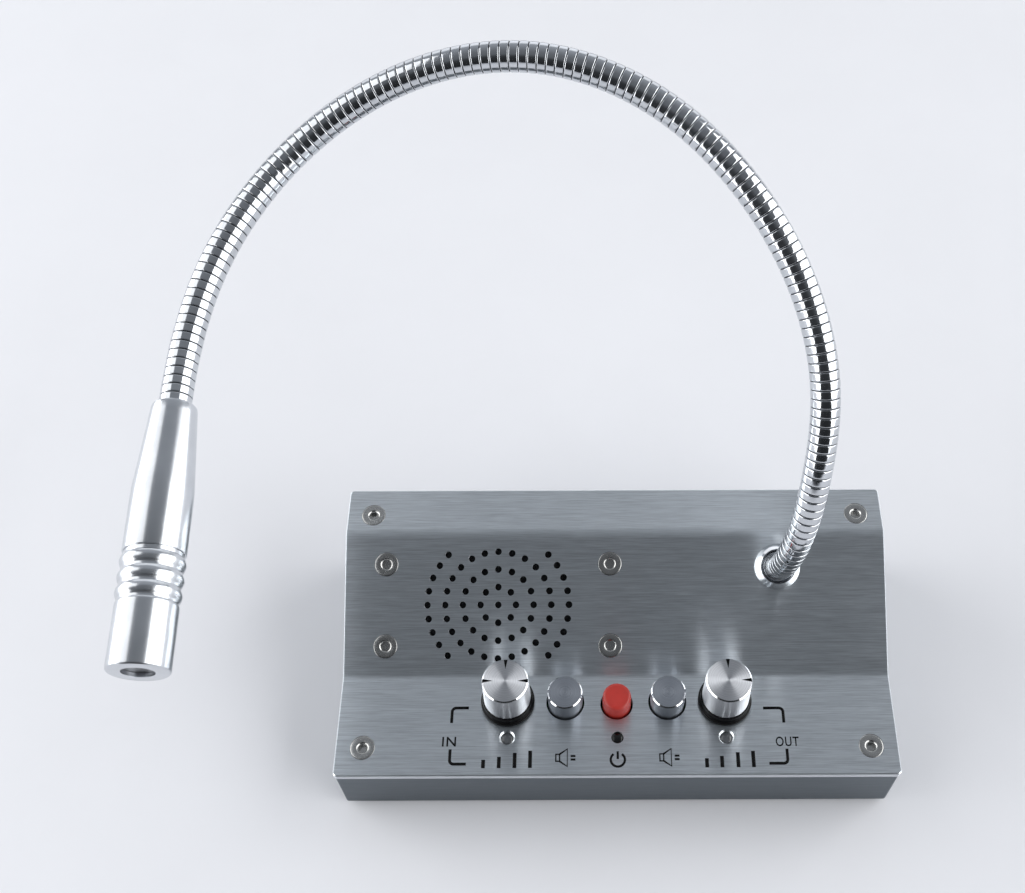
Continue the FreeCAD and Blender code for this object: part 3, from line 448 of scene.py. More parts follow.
def circuit_board(name, dark, light, pitch):
    """Glass-fibre board: solder mask, with paler tracks under it at a pitch in millimetres."""
    made, tree = new_material(name)
    tracks = add_node(tree, "TexVoronoi", {
        "Vector": add_node(tree, "TexCoord").outputs["Object"], "Scale": 1 / (pitch * MM),
    }, feature="DISTANCE_TO_EDGE", voronoi_dimensions="3D").outputs["Distance"]
    finish_material(
        tree, (tracks, dark, light, 0.05, 0.09), (noise_in(tree, 1.5), 0.3, 0.45), (tracks, 0.01)
    )
    return made


def printing_ink(name, dark, light):
    """Screen-printed epoxy ink: slightly uneven, with hardly any gloss."""
    made, tree = new_material(name)
    film = noise_in(tree, 0.4)
    finish_material(
        tree, (film, dark, light), (film, 0.55, 0.75), (film, 0.003), Specular_IOR_Level=0.12
    )
    return made


def hex_colours(*codes):
    """Linear colours of several hex values."""
    return [hex_colour(code) for code in codes]


def make_materials():
    """Every finish on the object, by name."""
    plate = tuple(bpy.context.scene.counter_mic_housing.plate_colour)
    red = tuple(bpy.context.scene.counter_mic_controls.power_colour)
    # The tray's two colours are painted shade: stainless darkened to stand in for the dark reflection on its
    # front face
    dark_tray_painted_shade, tray = hex_colours("5B6168", "6F767C")
    return {
        # Stainless sheet brushed along its length: long satin lines, and a streak behind each knob
        "plate": brushed_steel("brushed_stainless_plate", darker(plate, 0.72), plate, hex_colour("DDE1E5")),
        # The same sheet with its colour darkened as painted shade for the dark reflection on the tray's
        # front: a quiet band under the bright plate
        "tray": brushed_steel("brushed_stainless_tray_painted_shade", dark_tray_painted_shade, tray, tray),
        # Chromed strip wound to a hose: a bright and a dark stripe along it, broken at each ring
        "chrome": polished_metal("chromed_steel_hose", "D2D5D9", 0.08),
        # Steel in the hose's grooves, dark and dull: painted shade, the thin dark line between two rings
        "groove": plated_metal("steel_groove_painted_shade", *hex_colours("2C2E31", "4A4D51"), 0.5, 0.3),
        # Polished aluminium: broad, soft-edged stripes along the head
        "head": polished_metal("polished_aluminium_head", "D4D7DB", 0.19),
        # Edge cut with a diamond tool: the thin bright line round the top of a knob or button
        "cut_edge": polished_metal("diamond_cut_edge", "EDEEF0", 0.10),
        # Chromed brass: the brightest ring on the panel
        "gland": polished_metal("chromed_brass_gland", "E3E5E8", 0.06),
        # Tumbled stainless steel: warmer and duller than the chrome beside it
        "screws": polished_metal("stainless_screws", "B4B4B2", 0.20, 0.08, 0.5),
        # Spun aluminium: the light and dark fan on top of each knob
        "in_knob": turned_metal("spun_aluminium_in_knob", "DCDEE2", 0.44, -KNOB_X, KNOB_Y, 0.3, 0.95),
        "out_knob": turned_metal("spun_aluminium_out_knob", "DCDEE2", 0.44, KNOB_X, KNOB_Y, 0.3, 0.95),
        # Turned and bead-blasted aluminium: a flat grey top with the faintest rings
        "left_button": turned_metal(
            "turned_aluminium_left_button", "B2B7BF", 0.30, -BUTTON_X, BUTTON_Y, 0.2, 0.6
        ),
        "right_button": turned_metal(
            "turned_aluminium_right_button", "B2B7BF", 0.30, BUTTON_X, BUTTON_Y, 0.2, 0.6
        ),
        # Satin ABS: near black, with almost no highlight
        "black": moulded("black_abs", *hex_colours("050506", "0B0B0D"), 0.32, Specular_IOR_Level=0.14),
        # Satin ABS coloured through: a soft red with one pale gleam
        "red": moulded("red_abs", darker(red, 0.85), red, 0.42, Coat_Weight=0.15, Coat_Roughness=0.08),
        # Clear polycarbonate over an unlit lamp: smoky grey, with a sharp spot of light
        "lens": moulded(
            "clear_polycarbonate", *hex_colours("2B2D30", "5A5D61"), 0.12, 0.5, Coat_Weight=0.3,
            Coat_Roughness=0.08, Transmission_Weight=0.2,
        ),
        # Smoked polycarbonate: a black dot that shines only at its rim
        "dark_lens": moulded(
            "smoked_polycarbonate", *hex_colours("030304", "0A0A0C"), 0.10, 0.6, 0.002, Coat_Weight=0.2,
            Coat_Roughness=0.08, Specular_IOR_Level=0.3,
        ),
        # Moulded rubber: dull black
        "rubber": moulded("black_rubber", *hex_colours("0C0C0D", "1B1B1C"), 0.75, 0.4, 0.02),
        # Soft PVC: black, with a broad faint gleam
        "sheath": moulded("black_cable_sheath", *hex_colours("101012", "1D1D20"), 0.55),
        # Pressed paper: fibrous and quite matt
        "paper": moulded("pressed_paper_cone", *hex_colours("1D1A17", "332E29"), 0.9, 0.5, 0.05),
        # Sintered ferrite: dark grey and gritty
        "ferrite": moulded("ferrite_magnet", *hex_colours("232326", "38383C"), 0.8, 0.6, 0.03),
        # Open-cell foam: a dark, uneven skin
        "foam": woven_cloth("gasket_foam", *hex_colours("141414", "2C2C2C"), 0.6),
        # Acoustic cloth: plain weave that keeps the drilled holes black
        "cloth": woven_cloth("acoustic_cloth", *hex_colours("08080A", "17171A"), 0.35),
        # Zinc plate on steel: pale and cloudy
        "zinc": plated_metal("zinc_plated_steel", *hex_colours("8E9294", "B9BDC0"), 0.36),
        # Turned brass: warm yellow
        "brass": plated_metal("turned_brass", *hex_colours("9C7B3C", "C9A55A"), 0.30),
        # Nickelled wire: a grey mesh in the dark mouth
        "wire": plated_metal("nickelled_wire_mesh", *hex_colours("85878B", "B5B7BB"), 0.45, 0.3),
        # Solder mask on glass fibre: dark green with lighter tracks
        "board": circuit_board("green_circuit_board", *hex_colours("2E6B3C", "17452A"), 4.17),
        # Epoxy ink: crisp black marks with no shine
        "ink": printing_ink("black_printing_ink", *hex_colours("040405", "0A0A0C")),
    }


MATERIALS = {}


def material(key):
    """One of the finishes, all of them made on first use."""
    if not MATERIALS:
        MATERIALS.update(make_materials())
    return MATERIALS[key]


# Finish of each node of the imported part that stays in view
CARRIED_OVER = {
    "plate": ["top_plate"],
    "tray": ["housing_tray"],
    "zinc": [
        "corner_posts", "speaker_basket", "speaker_yoke", "speaker_nuts", "board_pillars", "pot_washers",
        "pot_nuts", "in_knob_shaft", "out_knob_shaft", "socket_nut", "mic_capsule",
    ],
    "rubber": ["base_pad", "speaker_surround", "cable_grommet", "capsule_holder"],
    "foam": ["speaker_gasket"],
    "paper": ["speaker_cone", "speaker_dust_cap"],
    "ferrite": ["speaker_magnet"],
    "board": ["control_board", "main_board"],
    "black": ["board_parts", "pot_bodies", "switch_housings", "line_socket"],
    "brass": ["gland_nut", "neck_ferrule"],
    "sheath": ["neck_lead_0", "neck_lead_1", "neck_lead_2", "neck_lead_3", "neck_lead_4"],
}


def only(piece):
    """Selects one piece and makes it the active one."""
    bpy.ops.object.select_all(action="DESELECT")
    piece.select_set(True)
    bpy.context.view_layer.objects.active = piece


def select_nothing():
    """Leaves edit mode, if it is on, and deselects every piece."""
    if bpy.context.mode != "OBJECT":
        bpy.ops.object.mode_set(mode="OBJECT")
    bpy.ops.object.select_all(action="DESELECT")


def at(x, y, z):
    """A move in millimetres."""
    return Matrix.Translation(Vector((x, y, z)) * MM)


def settle(piece, place=None):
    """Puts a piece in its place and leaves its object at the origin."""
    only(piece)
    if place:
        piece.matrix_world = place @ piece.matrix_world
    bpy.context.view_layer.update()
    bpy.ops.object.transform_apply(location=True, rotation=True, scale=True)


def copied(name, pattern, place=None):
    """Copy of a pattern, with its own mesh, in its place."""
    made = pattern.copy()
    made.name = name
    made.data = pattern.data.copy()
    bpy.context.scene.collection.objects.link(made)
    settle(made, place)
    return made


def modify(piece, kind, **settings):
    """Gives a piece a modifier with its settings, and applies it."""
    made = piece.modifiers.new(kind.lower(), kind)
    for name, value in settings.items():
        setattr(made, name, value)
    only(piece)
    bpy.ops.object.modifier_apply(modifier=made.name)


def turned(name, profile, segments, closed=True):
    """Body of revolution about Z, drawn point by point in (radius, height) millimetres, and spun."""
    select_nothing()
    bpy.ops.mesh.primitive_plane_add(size=MM, enter_editmode=True)
    piece = bpy.context.object
    piece.name = name
    bpy.ops.mesh.merge(type="CENTER")
    outline = [Vector((r, 0, h)) * MM for r, h in profile]
    if closed and profile[0][0] > 0:
        outline.append(outline[0])
    bpy.ops.transform.translate(value=outline[0])
    for here, there in zip(outline, outline[1:]):
        bpy.ops.mesh.extrude_vertices_move(TRANSFORM_OT_translate={"value": there - here})
    bpy.ops.mesh.select_all(action="SELECT")
    bpy.ops.mesh.spin(steps=segments, angle=2 * math.pi, center=(0, 0, 0), axis=(0, 0, 1))
    bpy.ops.mesh.select_all(action="SELECT")
    bpy.ops.mesh.remove_doubles(threshold=SAME_PLACE * MM)
    bpy.ops.mesh.normals_make_consistent(inside=False)
    bpy.ops.object.mode_set(mode="OBJECT")
    return piece


def smooth(piece, angle):
    """Shades a piece smooth, and keeps its edges that are sharper than an angle in degrees."""
    only(piece)
    bpy.ops.object.shade_smooth_by_angle(angle=math.radians(angle))


def mend(piece):
    """Merges points that lie together and turns every face outwards."""
    only(piece)
    bpy.ops.object.mode_set(mode="EDIT")
    bpy.ops.mesh.select_all(action="SELECT")
    bpy.ops.mesh.remove_doubles(threshold=SAME_PLACE * MM)
    bpy.ops.mesh.dissolve_degenerate(threshold=SAME_PLACE * MM)
    bpy.ops.mesh.normals_make_consistent(inside=False)
    bpy.ops.object.mode_set(mode="OBJECT")


def cut(piece, sides, radius, depth, place):
    """Cuts an upright prism out of a piece, in a place given as a matrix."""
    bpy.ops.object.select_all(action="DESELECT")
    bpy.ops.mesh.primitive_cylinder_add(vertices=sides, radius=radius * MM, depth=depth * MM)
    cutter = bpy.context.object
    settle(cutter, place)
    modify(piece, "BOOLEAN", object=cutter, operation="DIFFERENCE", solver="EXACT")
    bpy.data.objects.remove(cutter)
    mend(piece)


def close_ends(piece):
    """Fills the two open ends of a tube."""
    only(piece)
    bpy.ops.object.mode_set(mode="EDIT")
    bpy.ops.mesh.select_all(action="DESELECT")
    bpy.ops.mesh.select_non_manifold()
    bpy.ops.mesh.edge_face_add()
    bpy.ops.mesh.select_all(action="SELECT")
    bpy.ops.mesh.normals_make_consistent(inside=False)
    bpy.ops.object.mode_set(mode="OBJECT")


def join(name, pieces):
    """Makes one piece of several."""
    only(pieces[0])
    for piece in pieces[1:]:
        piece.select_set(True)
    if len(pieces) > 1:
        bpy.ops.object.join()
    whole = bpy.context.object
    whole.name = name
    return whole


def paint(piece, *finishes):
    """Gives a piece its finishes, the first of them all over."""
    piece.data.materials.clear()
    for finish in finishes:
        piece.data.materials.append(material(finish))


def dress(piece, finish, body, *nodes, slot=None):
    """Gives a piece its finish, its body and the nodes it stands for."""
    paint(piece, finish)
    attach(piece, body)
    if nodes:
        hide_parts(*nodes)


def polish_chamfer(piece):
    """Gives the sloping ring round the top face of a turned piece a bright cut edge."""
    piece.data.materials.append(material("cut_edge"))
    bright = len(piece.data.materials) - 1
    for face in piece.data.polygons:
        if 0.3 < face.normal.z < 0.92 and face.material_index == 0:
            face.material_index = bright


def on_panel(x, up):
    """Place on the sloped panel, with Z along its normal, for coordinates in millimetres."""
    turn = Matrix.Rotation(math.radians(PANEL_SLOPE), 4, "X")
    spot = at(*PANEL_FOOT) @ turn @ Vector((x * MM, up * MM, 0))
    return Matrix.Translation(spot) @ turn


def in_head():
    """Place of the head's own frame, with Z forwards from the end of the neck."""
    across = (ACROSS - HEAD_DIRECTION * ACROSS.dot(HEAD_DIRECTION)).normalized()
    turn = Matrix((across, HEAD_DIRECTION.cross(across), HEAD_DIRECTION)).transposed().to_4x4()
    return at(*NECK_ROUTE[-1]) @ turn


def neck_line():
    """Curve along the middle of the neck, from inside the gland to inside the head.

    It passes through the route's points, with the tangents of a natural smooth curve."""
    start = GLAND + PANEL_NORMAL * NECK_STRAIGHT
    points = [start] + NECK_ROUTE
    gaps = [(b - a).length for a, b in zip(points, points[1:])]
    slopes = [PANEL_NORMAL.copy()] + [Vector()] * (len(points) - 2) + [HEAD_DIRECTION.copy()]
    for _ in range(SLOPE_ROUNDS):
        for i in range(1, len(points) - 1):
            back, ahead = gaps[i - 1], gaps[i]
            pull = (points[i] - points[i - 1]) * (ahead / back) + (points[i + 1] - points[i]) * (back / ahead)
            slopes[i] = (pull * 3 - slopes[i - 1] * ahead - slopes[i + 1] * back) / (2 * (back + ahead))
    knots = list(zip(points, slopes))
    knots.insert(0, (GLAND - PANEL_NORMAL * NECK_IN_GLAND, PANEL_NORMAL))
    knots.append((NECK_ROUTE[-1] + HEAD_DIRECTION * NECK_IN_HEAD, HEAD_DIRECTION))
    curve = bpy.data.curves.new("neck_line", "CURVE")
    curve.dimensions = "3D"
    curve.resolution_u = 48
    curve.twist_mode = "MINIMUM"
    spline = curve.splines.new("BEZIER")
    spline.bezier_points.add(len(knots) - 1)
    spans = [(b[0] - a[0]).length for a, b in zip(knots, knots[1:])]
    for i, (point, slope) in enumerate(knots):
        knot = spline.bezier_points[i]
        before = spans[max(i - 1, 0)]
        after = spans[min(i, len(spans) - 1)]
        knot.handle_left_type = knot.handle_right_type = "FREE"
        knot.co = point * MM
        knot.handle_left = (point - slope * (before / 3)) * MM
        knot.handle_right = (point + slope * (after / 3)) * MM
    line = bpy.data.objects.new("neck_line", curve)
    bpy.context.scene.collection.objects.link(line)
    return line


class MIC_OT_neck(bpy.types.Operator):
    """Models the flexible neck: one ring, repeated and laid along the neck's line in four stretches"""
    bl_idname = "counter_mic.neck"
    bl_label = "Neck"

    def execute(self, context):
        sizes = context.scene.counter_mic_neck
        line = neck_line()
        whole = line.data.splines[0].calc_length(resolution=256)
        step = whole / sizes.ring_count
        band, groove = sizes.band_radius / MM, sizes.groove_radius / MM
        half = [
            (groove, 0), (groove, 0.03), (band - 0.2, 0.044), (band - 0.1, 0.06), (band - 0.045, 0.084),
            (band - 0.015, 0.118), (band - 0.003, 0.17), (band, 0.23), (band, 0.4),
        ]
        pitch = step / MM
        profile = [(r, x * pitch) for r, x in half] + [(r, (1 - x) * pitch) for r, x in reversed(half)]
        joints = {j["child"]: j for j in frame["joints"]}
        stretches = [
            ("neck_hose_base", "console", "neck_low", ["neck_span_0", "neck_span_1"]),
            ("neck_hose_side", "neck_low", "neck_mid", ["neck_span_2"]),
            ("neck_hose_top", "neck_mid", "neck_high", ["neck_span_3"]),
            ("neck_hose_head", "neck_high", "mic_head", ["neck_span_4"]),
        ]
        points = self.samples(line)
        stations = self.stations(points, [Vector(joints[s[2]]["pos_m"]) for s in stretches], whole)
        limits = [0]
        limits += [round((a + b) / 2 / whole * sizes.ring_count) for a, b in zip(stations, stations[1:])]
        limits += [sizes.ring_count]
        ring = turned("ring_pattern", profile, sizes.sides, closed=False)
        paint(ring, "chrome", "groove")
        # The sunk part of a ring is dull, and dark with painted shade
        for face in ring.data.polygons:
            face.material_index = int(face.center.xy.length < (band - 0.25) * MM)
        settle(ring, Matrix.Rotation(math.radians(90), 4, "Y"))
        for (name, low, high, nodes), first, last in zip(stretches, limits, limits[1:]):
            piece = copied(name, ring, Matrix.Translation((first * step, 0, 0)))
            modify(
                piece, "ARRAY", count=last - first, use_relative_offset=False, use_constant_offset=True,
                constant_offset_displace=(step, 0, 0), use_merge_vertices=True, merge_threshold=0.01 * MM,
            )
            close_ends(piece)
            modify(piece, "CURVE", object=line, deform_axis="POS_X")
            smooth(piece, 36.0)
            begins, ends = first * step, last * step
            # For the outer stretches, the ends are set at equal lengths on both sides of their joint and the
            # points there are looked up, but nothing uses them
            if low == "console":
                begins = 2 * stations[0] - ends
            if high == "mic_head":
                ends = 2 * stations[3] - begins
            self.point(points, begins)
            self.point(points, ends)
            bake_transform(piece)
            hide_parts(*nodes)
        bpy.data.objects.remove(ring)
        bpy.data.objects.remove(line)
        return {"FINISHED"}

    def samples(self, line):
        """Points closely spaced along the line."""
        depsgraph = bpy.context.evaluated_depsgraph_get()
        mesh = bpy.data.meshes.new_from_object(line.evaluated_get(depsgraph))
        points = [v.co.copy() for v in mesh.vertices]
        bpy.data.meshes.remove(mesh)
        return points

    def stations(self, points, places, whole):
        """Distance along the line of the point nearest to each place."""
        run = [0.0]
        for a, b in zip(points, points[1:]):
            run.append(run[-1] + (b - a).length)
        nearest = [min(range(len(points)), key=lambda i: (points[i] - place).length) for place in places]
        return [run[i] * whole / run[-1] for i in nearest]

    def point(self, points, distance):
        """Point at a distance along the line."""
        for a, b in zip(points, points[1:]):
            step = (b - a).length
            if distance <= step:
                return a.lerp(b, max(distance, 0) / step)
            distance -= step
        return points[-1]


class MIC_OT_cloth(bpy.types.Operator):
    """Models the acoustic cloth that is stretched behind the drilled holes"""
    bl_idname = "counter_mic.cloth"
    bl_label = "Grille cloth"

    def execute(self, context):
        radius, half = CLOTH_RADIUS, CLOTH_HALF
        select_nothing()
        bpy.ops.mesh.primitive_circle_add(
            vertices=72, radius=radius * MM, fill_type="TRIFAN", enter_editmode=True
        )
        bpy.ops.mesh.subdivide(number_cuts=9)
        bpy.ops.object.mode_set(mode="OBJECT")
        cloth = context.object
        cloth.name = "grille_cloth_sheet"
        for vertex in cloth.data.vertices:
            across, up = vertex.co.xy / MM
            reach = math.hypot(across, up)
            if reach * half < abs(up) * radius:
                vertex.co.xy *= half * reach / (abs(up) * radius)
            # Even stretched cloth ripples a little
            across, up = vertex.co.xy / MM
            vertex.co.z = CLOTH_RIPPLE * math.sin(across / 1.3) * math.sin(up / 1.1) * MM
        modify(cloth, "SOLIDIFY", thickness=CLOTH_THICKNESS * MM, offset=-1.0)
        settle(cloth, on_panel(GRILLE_X, GRILLE_UP) @ at(0, 0, -CLOTH_DEPTH))
        smooth(cloth, 40.0)
        dress(cloth, "cloth", "console", "grille_cloth", slot="black_cloth")
        return {"FINISHED"}


class MIC_OT_gland(bpy.types.Operator):
    """Models the polished ring where the neck leaves the panel"""
    bl_idname = "counter_mic.gland"
    bl_label = "Gland"

    def execute(self, context):
        ring = turned("neck_gland_ring", [
            (4.45, -8.0), (5.0, -8.0), (5.0, 0.0), (7.45, 0.0), (7.6, 0.12), (7.6, 1.15), (7.52, 1.35),
            (5.95, 3.8), (5.8, 3.97), (5.6, 4.0), (5.5, 3.9), (5.4, 3.3), (4.75, 2.4), (4.45, 2.4),
        ], FACES)
        settle(ring, on_panel(*GLAND_ON_PANEL))
        smooth(ring, 28.0)
        dress(ring, "gland", "console", "neck_gland", slot="polished_metal")
        return {"FINISHED"}


class MIC_OT_head(bpy.types.Operator):
    """Models the microphone head: tapered body, beaded cap and the wire mesh in its mouth"""
    bl_idname = "counter_mic.head"
    bl_label = "Microphone head"

    def execute(self, context):
        seam = HEAD_SEAM
        body = turned("head_body", [
            (4.45, 0.15), (4.6, 0.0), (5.1, 0.0), (5.65, 0.18), (6.0, 0.6), (6.15, 1.2), (6.3, 3.0),
            (7.9, 23.5), (8.02, 25.5), (8.1, 28.0), (8.1, seam - 0.35), (8.02, seam - 0.15),
            (7.85, seam - 0.05), (6.7, seam - 0.05), (6.7, 26.0), (5.25, 11.0), (5.25, 3.0), (4.45, 3.0),
        ], FACES)
        outline = [(6.6, seam - 6.0), (6.6, seam), (7.65, seam), (7.62, seam + 1.0)]
        bead = [
            (7.7, 0.05), (7.95, 0.4), (8.18, 0.95), (8.3, 1.5), (8.33, 1.75), (8.3, 2.0), (8.18, 2.5),
            (7.95, 3.05), (7.7, 3.42), (7.66, 3.6), (7.66, BEAD_PITCH - 0.12),
        ]
        for k in range(3):
            outline += [(radius, seam + 1.0 + k * BEAD_PITCH + rise) for radius, rise in bead]
        last_bead = seam + 1.0 + 3 * BEAD_PITCH
        face = HEAD_LENGTH
        outline += [
            (7.7, last_bead), (7.86, last_bead + 0.2), (7.97, last_bead + 0.45), (8.0, last_bead + 0.8),
            (8.0, face - 0.8), (7.92, face - 0.35), (7.6, face - 0.05), (7.4, face), (4.35, face),
            (4.22, face - 0.06), (4.2, face - 0.2), (4.2, face - 1.15), (6.6, face - 1.15), (6.6, seam + 0.7),
            (5.95, seam), (5.95, seam - 6.0),
        ]
        cap = turned("head_cap", outline, FACES)
        for piece, node in ((body, "mic_body"), (cap, "mic_cap")):
            settle(piece, in_head())
            smooth(piece, 24.0)
            dress(piece, "head", "mic_head", node, slot="polished_metal")
        self.mouth()
        return {"FINISHED"}

    def mouth(self):
        """Square wire mesh in the mouth, with a dark disc of cloth behind it."""
        select_nothing()
        bpy.ops.mesh.primitive_grid_add(
            x_subdivisions=MESH_CELLS, y_subdivisions=MESH_CELLS, size=MESH_CELLS * MESH_PITCH * MM,
            enter_editmode=True,
        )
        wires = bpy.context.object
        bpy.ops.mesh.select_all(action="DESELECT")
        sheet = bmesh.from_edit_mesh(wires.data)
        for vertex in sheet.verts:
            vertex.select = vertex.co.length > MESH_RADIUS * MM
        sheet.select_flush_mode()
        bmesh.update_edit_mesh(wires.data)
        bpy.ops.mesh.delete(type="VERT")
        bpy.ops.mesh.select_all(action="SELECT")
        bpy.ops.mesh.delete_loose()
        bpy.ops.mesh.select_all(action="SELECT")
        bpy.ops.mesh.inset(thickness=MESH_WIRE / 2 * MM, use_individual=True)
        bpy.ops.mesh.delete(type="FACE")
        bpy.ops.object.mode_set(mode="OBJECT")
        modify(wires, "SOLIDIFY", thickness=MESH_THICKNESS * MM, offset=0.0)
        mend(wires)
        face = HEAD_LENGTH - MESH_DEPTH
        settle(wires, at(0, 0, face - 0.12))
        backing = turned("backing", [
            (0, face - 0.48), (6.35, face - 0.48), (6.45, face - 0.4), (6.45, face - 0.3), (0, face - 0.3),
        ], SMALL_FACES)
        paint(backing, "cloth")
        paint(wires, "wire")
        whole = join("mouth_mesh", [wires, backing])
        settle(whole, in_head())
        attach(whole, "mic_head")
        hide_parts("mic_mesh")


class MIC_OT_knobs(bpy.types.Operator):
    """Models the two volume knobs: spun metal cap on a black skirt"""
    bl_idname = "counter_mic.knobs"
    bl_label = "Volume knobs"

    def execute(self, context):
        height = context.scene.counter_mic_controls.knob_height / MM
        plain_skirt = turned("skirt_pattern", [
            (6.5, 0.5), (8.6, 0.5), (8.7, 0.62), (8.7, 1.35), (8.6, 1.5), (8.25, 1.62), (8.1, 1.85),
            (8.1, 3.9), (7.9, 4.2), (6.25, 4.2), (6.25, height - 1.7), (0.01, height - 1.7),
            (0.01, 13.85), (3.05, 13.85), (3.05, 3.5), (6.5, 3.5),
        ], FACES)
        plain_cap = turned("cap_pattern", [
            (6.3, 4.3), (7.5, 4.3), (7.6, 4.45), (7.33, height - 0.42), (6.95, height), (0, height),
            (0, height - 1.6), (6.3, height - 1.6),
        ], CAP_FACES)
        for side, x, marks in (("in", -KNOB_X, (0, 90, 180)), ("out", KNOB_X, (0, 90))):
            place = at(x, KNOB_Y, STRIP_Z)
            skirt = copied(side + "_skirt", plain_skirt, place)
            smooth(skirt, 28.0)
            dress(skirt, "black", side + "_knob", side + "_knob_skirt", slot="black_plastic")
            cap = copied(side + "_cap", plain_cap)
            for angle in marks:
                # A mark is a long three-sided notch that points at the middle
                aim = Matrix.Rotation(math.radians(angle - 90), 4, "Z")
                point = Matrix.Diagonal((0.85, 2.5, 1, 1)) @ Matrix.Rotation(math.pi, 4, "Z")
                cut(cap, 3, 1.0, 1.2, aim @ at(0, 6.4, height + 0.25) @ point)
            smooth(cap, 24.0)
            dress(cap, side + "_knob", side + "_knob", side + "_knob_cap", slot="turned_metal")
            self.fill_notches(cap, height)
            settle(cap, place)
        bpy.data.objects.remove(plain_skirt)
        bpy.data.objects.remove(plain_cap)
        return {"FINISHED"}

    def fill_notches(self, cap, height):
        """Inks the faces of the notches, by their place below the top face."""
        cap.data.materials.append(material("ink"))
        for face in cap.data.polygons:
            low = height - 0.6 < face.center.z / MM < height - 0.1
            if low and 3.9 < face.center.xy.length / MM < 6.85:
                face.material_index = 1
        polish_chamfer(cap)


class MIC_OT_buttons(bpy.types.Operator):
    """Models the two silver push buttons and the red one"""
    bl_idname = "counter_mic.buttons"
    bl_label = "Push buttons"

    def execute(self, context):
        sizes = context.scene.counter_mic_controls
        top = sizes.button_height / MM
        stem = [(1.6, -2.1), (1.6, -7.1), (0, -7.1)]
        outline = [(0, top), (5.22, top), (5.58, top - 0.42), (5.6, -1.95), (5.45, -2.1)]
        pattern = turned("button_pattern", outline + stem, FACES)
        for side, x in (("left", -BUTTON_X), ("right", BUTTON_X)):
            button = copied(side + "_push_button", pattern, at(x, BUTTON_Y, STRIP_Z))
            smooth(button, 28.0)
            dress(button, side + "_button", side + "_push", side + "_button", slot="turned_metal")
            polish_chamfer(button)
        bpy.data.objects.remove(pattern)
        top = sizes.power_height / MM
        button = turned("power_push_button", [
            (0, top - 0.12), (2.0, top - 0.08), (3.2, top), (3.75, top - 0.05), (4.15, top - 0.22),
            (4.42, top - 0.5), (4.56, top - 0.9), (4.6, top - 1.4), (4.6, -1.9), (4.4, -2.1),
        ] + stem, FACES)
        settle(button, at(*POWER_BUTTON, STRIP_Z))
        smooth(button, 28.0)
        dress(button, "red", "power_push", "power_button", slot="red_plastic")
        return {"FINISHED"}


class MIC_OT_springs(bpy.types.Operator):
    """Models the return springs under the buttons"""
    bl_idname = "counter_mic.springs"
    bl_label = "Return springs"

    def execute(self, context):
        for side, (x, y) in (
            ("left", (-BUTTON_X, BUTTON_Y)), ("right", (BUTTON_X, BUTTON_Y)), ("power", POWER_BUTTON),
        ):
            low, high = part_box(side + "_spring")
            height = high[2] - low[2]
            select_nothing()
            bpy.ops.mesh.primitive_circle_add(
                vertices=14, radius=SPRING_WIRE * MM, location=(SPRING_RADIUS * MM, 0, 0),
                rotation=(math.radians(90), 0, 0),
            )
            spring = context.object
            spring.name = side + "_return_spring"
            settle(spring)
            modify(
                spring, "SCREW", steps=28, render_steps=28, iterations=SPRING_TURNS,
                screw_offset=(height - 2 * SPRING_WIRE * MM) / SPRING_TURNS,
            )
            close_ends(spring)
            settle(spring, Matrix.Translation((x * MM, y * MM, low[2] + SPRING_WIRE * MM)))
            smooth(spring, 40.0)
            dress(spring, "zinc", "console", side + "_spring", slot="plated_steel")
            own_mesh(spring)
        return {"FINISHED"}


class MIC_OT_screws(bpy.types.Operator):
    """Models one countersunk hex-socket screw and copies it to its eight places"""
    bl_idname = "counter_mic.screws"
    bl_label = "Screws"

    def execute(self, context):
        pattern = turned("screw_pattern", [
            (0, -0.42), (1.55, -0.42), (1.72, -0.22), (1.95, -0.05), (2.1, -0.02), (2.9, 0.0), (3.55, -0.01),
            (3.78, -0.05), (3.9, -0.13), (3.95, -0.28), (3.95, -0.4), (2.0, -2.3), (2.0, -10.0), (0, -10.0),
        ], SMALL_FACES)
        cut(pattern, 6, HEX_KEY / math.sqrt(3), 2 * HEX_DEPTH, at(0, 0, 0))
        corners = [
            at(x, y, z)
            for x in (-PLATE_SCREW_X, PLATE_SCREW_X)
            for y, z in ((PLATE_SCREWS_FRONT, STRIP_Z), (PLATE_SCREWS_BACK, BACK_STRIP_Z))
        ]
        panel = [
            on_panel(GRILLE_X + x, GRILLE_UP + up)
            for x in (-PANEL_SCREW_X, PANEL_SCREW_X)
            for up in (-PANEL_SCREW_UP, PANEL_SCREW_UP)
        ]
        for name, places, node in (
            ("plate_screw_set", corners, "plate_screws"), ("panel_screw_set", panel, "speaker_screws"),
        ):
            # Each screw came to rest at its own angle
            whole = join(name, [
                copied("screw", pattern, place @ Matrix.Rotation(math.radians(turn), 4, "Z"))
                for place, turn in zip(places, (12, 41, 27, 55))
            ])
            smooth(whole, 28.0)
            dress(whole, "screws", "console", node, slot="screw_steel")
        bpy.data.objects.remove(pattern)
        return {"FINISHED"}


class MIC_OT_lamps(bpy.types.Operator):
    """Models the three lamp lenses"""
    bl_idname = "counter_mic.lamps"
    bl_label = "Lamps"

    def execute(self, context):
        pattern = turned("lens_pattern", [
            (0, -0.1), (0.6, -0.14), (1.1, -0.24), (1.5, -0.38), (1.8, -0.52), (1.95, -0.7),
            (1.95, -10.5), (0, -10.5),
        ], SMALL_FACES)
        smooth(pattern, 32.0)
        left, right, power = [copied("lens", pattern, at(x, LAMP_Y, STRIP_Z)) for x in LAMPS_X]
        pair = join("level_lamp_lenses", [left, right])
        dress(pair, "lens", "console", "level_lamps", slot="clear_lens")
        power.name = "power_lamp_lens"
        dress(power, "dark_lens", "console", "power_lamp", slot="dark_lens")
        bpy.data.objects.remove(pattern)
        return {"FINISHED"}


